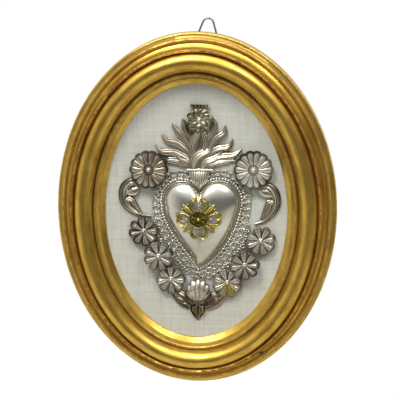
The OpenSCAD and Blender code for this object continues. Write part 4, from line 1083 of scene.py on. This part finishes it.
def makeCollar():
    low, high = nodeSpan("neck_collar")
    middle, r = (low + high) / 2, (high[2] - low[2]) / 2
    end = (high[0] - low[0]) / 2
    gadroons = 15
    # The gadroon valleys and the ends are painted darker, as shade
    profile = [(0.05, -end, 0.6), (r * 0.55, -end + 0.1, 0.5), (r * 0.9, -end + 0.5, 0.2)]
    for k in range(gadroons):   # a row of shallow gadroons between two plain ends
        u = -1 + 2 * (k + 0.5) / gadroons
        profile += [(r * 0.86, (u - 0.055) * (end - 0.8), 0.45), (r * 0.98, u * (end - 0.8), 0.0)]
    profile += [(r * 0.9, end - 0.5, 0.2), (r * 0.55, end - 0.1, 0.5), (0.05, end, 0.6)]
    return Casting().add(revolve(profile, middle, 20, across=True)).make("neck_collar_bar", 60)


flames = makeFlames(flameSet)
dress(flames, finish["silver"])
register(flames, "silver", "flame_crest")
neck = makeNeck(neckSet)
dress(neck, finish["filigreeSilver"])
register(neck, "silver", "crest_neck")
collar = makeCollar()
dress(collar, finish["filigreeSilver"])
register(collar, "silver", "neck_collar")
print("crest chased")


# Large rosettes: rounded flutes with dark rims round a small boss; the rims, the flute valleys and a ring
# round the boss are painted shade, and the flute crowns are left bright as painted highlights
rosetteSet = {"petals": 14, "rise": 2.9, "notch": 0.09, "fluteDepth": 0.75, "bore": 0.65}


def flutedDisc(centre, radius, seat, s):
    steps = 12
    n = s["petals"] * steps
    rows = []
    parts = [0.06, 0.12, 0.18, 0.22, 0.26, 0.34, 0.44, 0.55, 0.66, 0.76, 0.84, 0.9, 0.94, 0.97, 1.0]
    for part in parts:
        ring = []
        for i in range(n):
            a = 2 * math.pi * i / n
            swell = abs(math.cos(math.pi * i / steps))
            edge = radius * (1 - s["notch"] * (1 - swell ** 0.55))
            crown = math.sin(math.pi * (0.2 + 0.62 * part))
            flute = s["fluteDepth"] * (swell ** 0.7 - 0.6) * min(1, max(0, (part - 0.2) / 0.25))
            lip = 0.35 * max(0, (part - 0.9) / 0.07) if part < 0.98 else -0.5
            h = seat + 0.8 + s["rise"] * 0.78 * crown + flute + lip
            dark = (1 - swell) ** 0.95 * min(1, part * 2.2) + max(0, (part - 0.82) / 0.11)
            dark = min(1, dark * 0.95 + (0.7 if 0.19 < part < 0.3 else 0))
            reach = edge * part
            ring.append((centre[0] + reach * math.cos(a), centre[1] + reach * math.sin(a), h, dark))
        rows.append(ring)
    outer = [(x, y, seat, 1) for x, y, h, dark in rows[-1]]
    turns = [2 * math.pi * i / n for i in range(n)]
    inner = [(centre[0] + s["bore"] * math.cos(a), centre[1] + s["bore"] * math.sin(a), seat, 1)
             for a in turns]
    return loft([inner] + [outer] + rows[::-1] + [inner], closedEnds=False)


for name in ("rosette_left", "rosette_right"):
    low, high = nodeSpan(name)
    disc = Casting().add(flutedDisc(nodeMiddle(name), (high[0] - low[0]) / 2, low[2], rosetteSet))
    piece = disc.make(name + "_fluted", 55)
    dress(piece, finish["filigreeSilver" if name == "rosette_right" else "silver"])
    register(piece, "silver", name)
print("rosettes fluted")


# Flowers: eight rimmed petals with a rib, copied round a hub
flowerSet = {"petals": 8, "inner": 1.3, "width": 6.3, "rise": 0.9, "crown": 1.1, "hub": 2.1}


def petalPart(radius, s):
    length = radius - s["inner"]
    path = [(s["inner"] + length * t, 0) for t in (0, 0.2, 0.4, 0.6, 0.8, 0.93, 1)]
    widths = [s["width"] * share for share in (0.16, 0.38, 0.64, 0.86, 0.9, 0.62, 0.1)]
    petal = tongue(path, widths, "petal", 0.0, s["rise"], 0.5, 6, rim=0.23, crown=s["crown"])
    return localPart("petalPart", petal)


def hubPart(radius):
    # The hub is painted darker at its foot, as shade
    disc = [(0.05, 0.0, 1), (radius, 0.0, 1), (radius * 1.02, 0.5, 0.7), (radius * 0.8, 1.1, 0.2),
            (radius * 0.4, 1.4, 0.5), (0.05, 1.4, 0.5)]
    return localPart("hubPart", revolve(disc, (0, 0, 0), 20))


def nodeRadius(node):
    low, high = nodeSpan(node)
    return (high[0] - low[0]) / 2


def petalWheel(node, petal, s, start, material, name):   # a ring of petals round a hub, in the node's place
    hub = hubPart(s["hub"])
    centre = onFace([(*nodeMiddle(node), nodeSpan(node)[0][2])])[0]
    values = {"Count": s["petals"], "Start": start, "Hub": hub, "Centre": tuple(centre),
              "Finish": finish[material]}
    made = runTree(petal, ringTree, values, name)
    bpy.data.objects.remove(hub, do_unlink=True)
    return made


def makeFlower(node, s, start):
    material = "spilledSilver" if node == "flower_right_lower" else "filigreeSilver"
    return petalWheel(node, petalPart(nodeRadius(node), s), s, start, material, node + "_petals")


flowerNodes = ["flower_left_upper", "flower_left_middle", "flower_left_lower", "flower_right_upper",
               "flower_right_middle", "flower_right_lower"]
flowerTurns = [0.15, 0.32, 0.05, 0.28, 0.1, 0.36]
for name, start in zip(flowerNodes, flowerTurns):
    register(makeFlower(name, flowerSet, start), "silver", name)
print("flowers wired")


# Scroll leaves, tail leaves and tip
scrollSet = {"level": 8.65, "rise": 1.8, "edge": 0.7}
scrollLeaves = {
    "scroll_leaf_left": [
        ([(-27.4, 12.9), (-30.4, 14.9), (-34.1, 11.9), (-34.4, 6.2), (-31.4, 2.2), (-27.1, -0.1),
          (-21.7, -1)], [2.4, 3.8, 4.2, 3.8, 2.9, 1.6, 0.5], 0, "outerDark"),
        ([(-33.4, 6.6), (-31.2, 6.6), (-29.4, 4.4), (-27.4, 1.6), (-25.7, 0.2)],
         [1.6, 3.0, 2.8, 1.8, 0.5], 0.3, "flame"),
        ([(-33.2, 10.2), (-31.4, 9.9), (-29.2, 10.6), (-27.2, 12.2)], [1.4, 3.2, 4.2, 1.6], 0.45, "lobe")],
    "scroll_leaf_right": [
        ([(26.6, 11.9), (30.3, 13.5), (33.9, 10.5), (34.7, 5.5), (32.9, 1.2), (29.3, -2.3), (24.9, -3.8)],
         [2.4, 3.8, 4.2, 3.8, 2.9, 1.6, 0.5], 0, "outerDarkTurned"),
        ([(33.2, 9.4), (31.4, 9.8), (29.2, 10.6), (27.0, 11.6)], [1.4, 3.2, 4.0, 1.6], 0.45, "lobe"),
        ([(33.2, 6.4), (31.4, 5.8), (30.6, 3.4), (29.4, 0.8), (27.6, -1.6)],
         [1.6, 3.2, 3.2, 2.6, 0.5], 0.3, "flame")]}
tailLeaves = {
    "tail_leaf_left": [
        ([(-13.8, -34.8), (-10.6, -37.4), (-7.4, -40.8), (-4.0, -43.4)], [2.2, 5.4, 6.2, 4.2], -1.0, "leaf"),
        ([(-10.8, -35.6), (-8.6, -36.9), (-6.2, -38.6), (-4.2, -40.6)], [0.6, 2.8, 2.8, 0.8], 0.3, "flame"),
        ([(-11.2, -39.4), (-9.6, -39.2), (-7.6, -40.2), (-5.8, -41.6)], [0.6, 2.4, 2.4, 0.8], 0.2, "flame"),
        ([(-8.6, -42.2), (-7.2, -41.8), (-5.4, -42.2), (-3.8, -42.6)], [0.6, 2.2, 2.2, 1.0], 0.1, "flame")],
    "tail_leaf_right": [
        ([(12.6, -36.4), (9.4, -38.8), (6.2, -41.4), (2.8, -43.6)], [2.2, 5.4, 6.2, 4.2], -1.0, "leaf"),
        ([(9.2, -36.6), (7.0, -37.8), (4.8, -39.2), (3.0, -41.0)], [0.6, 2.8, 2.8, 0.8], 0.3, "flame"),
        ([(9.8, -40.6), (8.2, -40.2), (6.2, -41.0), (4.4, -42.2)], [0.6, 2.4, 2.4, 0.8], 0.2, "flame"),
        ([(7.2, -43.0), (5.8, -42.6), (4.0, -42.8), (2.4, -43.0)], [0.6, 2.2, 2.2, 1.0], 0.1, "flame")],
    "tail_tip": [
        ([(-0.7, -42.4), (-0.75, -44.4), (-0.8, -47), (-0.9, -50)], [3.0, 7.2, 5.4, 0.3], 0, "petal"),
        ([(-2.2, -43.2), (-3.0, -44.8), (-1.6, -47.6)], [1.6, 2.2, 0.4], 0.5, "leaf"),
        ([(0.8, -43.2), (1.5, -44.8), (0.0, -47.6)], [1.6, 2.2, 0.4], 0.5, "leaf")]}


def makeLeaves(name, parts, s):
    casting = Casting()
    for path, widths, lift, section in parts:   # a lift below zero keeps a leaf low, under a flower
        level, rise = s["level"] + max(lift, 0), s["rise"] + min(lift, 0)
        casting.add(tongue(spots(path), scaled(widths), section, level, rise, s["edge"], 7))
    return casting.make(name + "_chased")


for name, parts in {**scrollLeaves, **tailLeaves}.items():
    piece = makeLeaves(name, parts, scrollSet)
    dress(piece, finish["brownSilver" if name in tailLeaves else "silver"])
    register(piece, "silver", name)


# Palmette: a bulging shell of flutes that fan out from its foot, with a turned lip below
palmetteSet = {"flutes": 7, "rise": 3.6}


def makePalmette(s):
    low, high = nodeSpan("tail_palmette")
    centre = nodeMiddle("tail_palmette")
    halfW, halfH = (high[0] - low[0]) / 2, (high[1] - low[1]) / 2
    seat = low[2]
    rows = []
    n = 112
    for part in (0.05, 0.15, 0.28, 0.42, 0.56, 0.7, 0.8, 0.88, 0.94, 1.0):
        ring = []
        for i in range(n):
            a = 2 * math.pi * i / n
            x, y = math.cos(a), math.sin(a)
            fan = math.atan2(x * part, 1.35 + y * part)
            ridge = abs(math.cos(fan * s["flutes"] * 1.9))
            edge = 1 - 0.12 * (1 - ridge) * (y > -0.4)
            h = seat + 0.7 + s["rise"] * (1 - part ** 2.4) ** 0.7 + 0.8 * (ridge - 0.6) * (1 - part ** 6)
            # Painted shade in the flute valleys and on the rim, and darker towards the bottom
            dark = 0.95 * (1 - ridge) ** 1.2 + 0.8 * max(0, (part - 0.8) / 0.2) + 0.35 * max(0, -y) * part
            ring.append((centre[0] + halfW * edge * part * x, centre[1] + halfH * edge * part * y, h,
                         min(1, dark)))
        rows.append(ring)
    rows.append([(x, y, seat, 1) for x, y, h, dark in rows[-1]])
    casting = Casting().add(loft(rows))
    foot = centre[1] - halfH * 0.55
    for side in (-1, 0, 1):
        path = [(centre[0] + side * out, foot + up) for out, up in ((1.2, -1), (3.0, 1.2), (4.6, 4.2))]
        casting.add(tongue(path, [2.2, 3.2, 0.6], "flame", seat + 3.0, 1.0, 0.5, 6))
    return casting.make("tail_palmette_shell")


palmette = makePalmette(palmetteSet)
dress(palmette, finish["filigreeSilver"])
register(palmette, "silver", "tail_palmette")
print("leaves chased")


# Cross: a flared top with small flutes, and the rosette of pointed leaves in front of it
crossSet = {"wide": 4.2, "narrow": 2.9, "arm": 3.4, "petals": 7, "hub": 2.2}


def makeCross(s):
    low, high = nodeSpan("cross_finial")
    centre = nodeMiddle("cross_rosette")
    wide = (high[0] - low[0]) / 2
    narrow = wide * s["narrow"] / s["wide"]
    top = high[1]
    casting = Casting()
    rows = []
    for y, half in ((centre[1] - 4.6, narrow), (centre[1] + 4.3, narrow), (top - 4.0, narrow * 1.08),
                    (top - 1.4, wide * 0.92), (top, wide)):
        ring = []
        for u in np.linspace(-1, 1, 31):
            ridge = abs(math.sin(math.pi * 2.5 * (u + 1)))
            # The flute valleys are painted darker, as shade
            ring.append((centre[0] + half * u, y, low[2] + 0.6 + 0.65 * ridge, 0.9 * (1 - ridge) + 0.1))
        ring += [(centre[0] + half, y, low[2], 1), (centre[0] - half, y, low[2], 1)]
        rows.append(ring)
    casting.add(loft(rows))
    arm = s["arm"] * votiveSet["height"] / 100
    for y, reach, lift in ((top - 0.4, wide, 0.35), (top - 4.6, narrow * 1.15, 0.3)):
        # The rods are painted darker towards their ends, as shade
        rod = [(0.05, -reach, 0.8), (0.5, -reach + 0.2, 0.4), (0.5, reach - 0.2, 0.4), (0.05, reach, 0.8)]
        casting.add(revolve(rod, (centre[0], y, low[2] + 0.8 + lift), 10, across=True))
    casting.add(tongue([(centre[0] - arm, centre[1]), (centre[0], centre[1]), (centre[0] + arm, centre[1])],
                       [5, 5.6, 5], "scroll", low[2], 0.5, 0.6, 6))
    return casting.make("cross_top")


cross = makeCross(crossSet)
dress(cross, finish["oliveGilt"])
register(cross, "gilt_metal", "cross_finial")
crossLeaf = tongue([(1.2, 0), (3, 0.4), (5, 0.2), (7, -0.4), (nodeRadius("cross_rosette"), 0.3)],
                   [1.6, 4.8, 6.8, 5.6, 0.6], "leaf", 0.0, 1.1, 0.5, 6, crown=0.7)
crossRose = petalWheel("cross_rosette", localPart("crossPetal", crossLeaf), crossSet, 0.2, "oliveGilt",
                       "cross_rosette_leaves")
register(crossRose, "gilt_metal", "cross_rosette")


# Pins with pearl heads
def makePins(node, name, places, size, material):
    foot = nodeSpan(node)[0][2]
    half = size / 2
    casting = Casting()
    for (x, y), head in places:
        shank = head - foot
        # The shank and the underside of each pearl are painted dark, as shade
        profile = [(0.05, 0, 1), (0.6, 0, 1), (0.6, shank, 1)]
        profile += [(half * math.cos(a), shank + size / 4 + half * math.sin(a), 0.1 + 0.6 * (a < 0))
                    for a in np.radians(np.linspace(-30, 89, 12))]
        casting.add(revolve(profile, (x, y, foot), 24))
    piece = casting.make(name, 50)
    dress(piece, finish[material])
    return piece


def headLevel(node, size):
    return nodeSpan(node)[1][2] - size * 0.75


rosetteHeads = [(nodeMiddle(name), headLevel("rosette_pins", 3.2))
                for name in ("rosette_left", "rosette_right")]
rosettePins = makePins("rosette_pins", "rosette_pearls", rosetteHeads, 3.2, "filigreeSilver")
register(rosettePins, "silver", "rosette_pins")
flowerHeads = [(nodeMiddle(name), nodeSpan(name)[0][2] + 1.2) for name in flowerNodes]
flowerPins = makePins("flower_pins", "flower_pearls", flowerHeads, 2.2, "silver")
register(flowerPins, "silver", "flower_pins")
crossHead = [(nodeMiddle("cross_rosette"), headLevel("cross_pin", 2.2))]
crossPin = makePins("cross_pin", "cross_pearl", crossHead, 2.6, "polishedSilver")
register(crossPin, "gilt_metal", "cross_pin")
palmetteHead = [(nodeMiddle("tail_palmette"), headLevel("palmette_pin", 2.2))]
palmettePin = makePins("palmette_pin", "palmette_pearl", palmetteHead, 2.2, "silver")
register(palmettePin, "silver", "palmette_pin")


# Gilt cartouche: openwork scrolls round a small rosette, bent to the dome
cartoucheSet = {"gap": 0.25, "rise": 1.0, "edge": 0.35,
                "quarter": [([(5.6, 1.6), (8.4, 3.6), (12.2, 4.2), (14.6, 1.9), (13.2, -0.1), (11.4, 1.2)],
                             [1.0, 1.5, 1.9, 1.8, 1.4, 0.7]),
                            ([(1.9, 5.2), (4.6, 7.6), (5.2, 10.8), (3.0, 13.2), (1.0, 12.0), (2.2, 10.2)],
                             [1.0, 1.5, 1.9, 1.8, 1.4, 0.7]),
                            ([(4.0, 3.8), (6.6, 6.0), (9.2, 8.4), (10.4, 9.8)], [1.4, 2.8, 2.4, 0.4])],
                "pellets": [(8.0, 0.0, 0.8), (0.0, 8.2, 0.8), (10.6, 6.6, 0.6), (7.6, 9.6, 0.6),
                            (5.6, 5.4, 0.7)]}


def makeCartouche(s):
    casting = Casting()

    def under(x, y):
        return domeLevel(x, y) + s["gap"]

    for mirrorX in (1, -1):
        for mirrorY in (1, -1):
            for path, widths in s["quarter"]:
                flipped = [(heartMid[0] + mirrorX * x, heartMid[1] + mirrorY * y) for x, y in path]
                casting.add(tongue(flipped, widths, "scroll", 0, s["rise"], s["edge"], 7, drape=under))
            for x, y, size in s["pellets"]:
                px, py = heartMid[0] + mirrorX * x, heartMid[1] + mirrorY * y
                points, faces = beadShape(size, 1.0, 10)
                casting.add(([(px + p[0], py + p[1], under(px, py) + p[2], p[3]) for p in points], faces))
    turns = np.radians(np.arange(0, 361, 15))
    ringPath = [(heartMid[0] + 5.9 * math.cos(a), heartMid[1] + 5.7 * math.sin(a)) for a in turns]
    casting.add(tongue(ringPath, [1.3] * len(ringPath), "scroll", 0, s["rise"], s["edge"], 3, drape=under))
    for k in range(8):
        a = math.radians(45 * k + 22.5)
        path = [(heartMid[0] + r * math.cos(a), heartMid[1] + r * math.sin(a)) for r in (0.8, 2.4, 4.0, 5.2)]
        casting.add(tongue(path, [0.8, 2.0, 2.6, 0.6], "petal", 0, 0.8, 0.35, 5, drape=under))
    return casting.make("gilt_scrolls")


cartouche = makeCartouche(cartoucheSet)
dress(cartouche, finish["lemonGilt"])
register(cartouche, "gilt_metal", "gilt_cartouche")
cartoucheHead = [(tuple(heartMid), headLevel("cartouche_pin", 2.2))]
cartouchePin = makePins("cartouche_pin", "cartouche_pearl", cartoucheHead, 2.2, "lemonGilt")
register(cartouchePin, "gilt_metal", "cartouche_pin")
print("cartouche draped")


# CAD pieces that keep their shape and get their finish here
carried = {"mount_board": "card", "backing_board": "plywood", "backing_brads": "dullSteel",
           "hanger_plate": "dullBrass", "hanger_screws": "dullSteel", "hanger_wire": "darkWire"}
for node, material in carried.items():
    dress(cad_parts[node], finish[material])


# Stage: a pale floor below the object, studio light, and white behind
stageSet = {"floorDrop": 0.22, "floorTone": (0.56, 0.55, 0.51), "floorSpeck": (0.53, 0.52, 0.48),
            "floorHalf": 0.6, "world": 0.95, "room": 0.075, "up": (0.18, 0.7), "low": (-0.24, -0.8, 0.5),
            "left": (-0.4, -0.85, 0.7), "behind": (0.0, 0.25)}


def whiteForCamera(tree, surface):
    ray = add(tree, "ShaderNodeLightPath").outputs["Is Camera Ray"]
    white = add(tree, "ShaderNodeEmission", {"Color": (1, 1, 1, 1), "Strength": 1.0})
    mix = add(tree, "ShaderNodeMixShader", {0: ray, 1: surface, 2: white.outputs[0]})
    return mix.outputs[0]


def makeFloor(s):
    size = s["floorHalf"]
    level = cadBox[0][2] - s["floorDrop"]
    mesh = bpy.data.meshes.new("floor")
    corners = [(-size, -size, level), (size, -size, level), (size, size, level), (-size, size, level)]
    mesh.from_pydata(corners, [], [(0, 1, 2, 3)])
    floor = newObject("floor", mesh)
    mat, tree, shader = newMaterial("floorPaint")
    speck = noiseOf(tree, objectPlace(tree), 8.0)
    tone = blend(tree, speck, (*s["floorTone"], 1), (*s["floorSpeck"], 1))
    tree.links.new(tone, shader["Base Color"])
    shader["Roughness"].default_value = 0.9
    output = tree.nodes["Material Output"]
    tree.links.new(whiteForCamera(tree, tree.nodes["Principled BSDF"].outputs[0]), output.inputs["Surface"])
    dress(floor, mat)


def makeWorld(s):
    world = bpy.data.worlds.new("studio")
    scene.world = world
    world.use_nodes = True
    tree = world.node_tree
    tree.nodes.clear()
    direction = add(tree, "ShaderNodeTexCoord").outputs["Generated"]
    parts = add(tree, "ShaderNodeSeparateXYZ", {0: direction}).outputs
    up = ramp(tree, parts["Z"], *s["up"])
    spread = maths(tree, "ADD", maths(tree, "MULTIPLY", maths(tree, "ABSOLUTE", parts["X"]), 1.4), 1.0)
    low = ramp(tree, maths(tree, "MULTIPLY", parts["Z"], spread), *s["low"])
    left = ramp(tree, parts["X"], *s["left"])
    glow = maths(tree, "MAXIMUM", maths(tree, "MAXIMUM", up, low), left)
    room = maths(tree, "ADD", maths(tree, "MULTIPLY", glow, 0.9), s["room"])
    behind = ramp(tree, parts["Y"], *s["behind"])
    level = maths(tree, "MAXIMUM", room, behind)
    rays = add(tree, "ShaderNodeLightPath").outputs
    studio = add(tree, "ShaderNodeBackground", {"Color": (1, 1, 1, 1)})
    tree.links.new(maths(tree, "MULTIPLY", level, s["world"]), studio.inputs["Strength"])
    bounced = maths(tree, "MAXIMUM", rays["Is Glossy Ray"], rays["Is Transmission Ray"])
    mirrored = maths(tree, "MULTIPLY", bounced, behind)
    seen = maths(tree, "MAXIMUM", rays["Is Camera Ray"], mirrored)
    white = add(tree, "ShaderNodeBackground", {"Color": (1, 1, 1, 1), "Strength": 1.0})
    mix = add(tree, "ShaderNodeMixShader", {0: seen, 1: studio.outputs[0], 2: white.outputs[0]})
    tree.links.new(mix.outputs[0], add(tree, "ShaderNodeOutputWorld").inputs["Surface"])


def makeLamp(name, place, target, size, power):
    data = bpy.data.lights.new(name, "AREA")
    data.shape = "RECTANGLE"
    data.size, data.size_y = size
    data.energy = power
    lamp = bpy.data.objects.new(name, data)
    lamp.location = place
    lamp.rotation_euler = (Vector(target) - Vector(place)).to_track_quat("-Z", "Y").to_euler()
    scene.collection.objects.link(lamp)


lamps = {"keyLamp": ((-0.3, -0.6, 0.8), (0.3, 0.3), 7.4), "fillLamp": ((0.5, -0.6, 0.75), (0.25, 0.25), 3.6),
         "topLamp": ((0.0, -0.2, 0.95), (0.7, 0.25), 2.9)}
makeFloor(stageSet)
makeWorld(stageSet)
for name, (place, size, power) in lamps.items():
    makeLamp(name, place, (midX, 0.0, midZ), size, power)
scene.view_settings.view_transform = "Standard"
print("stage lit")
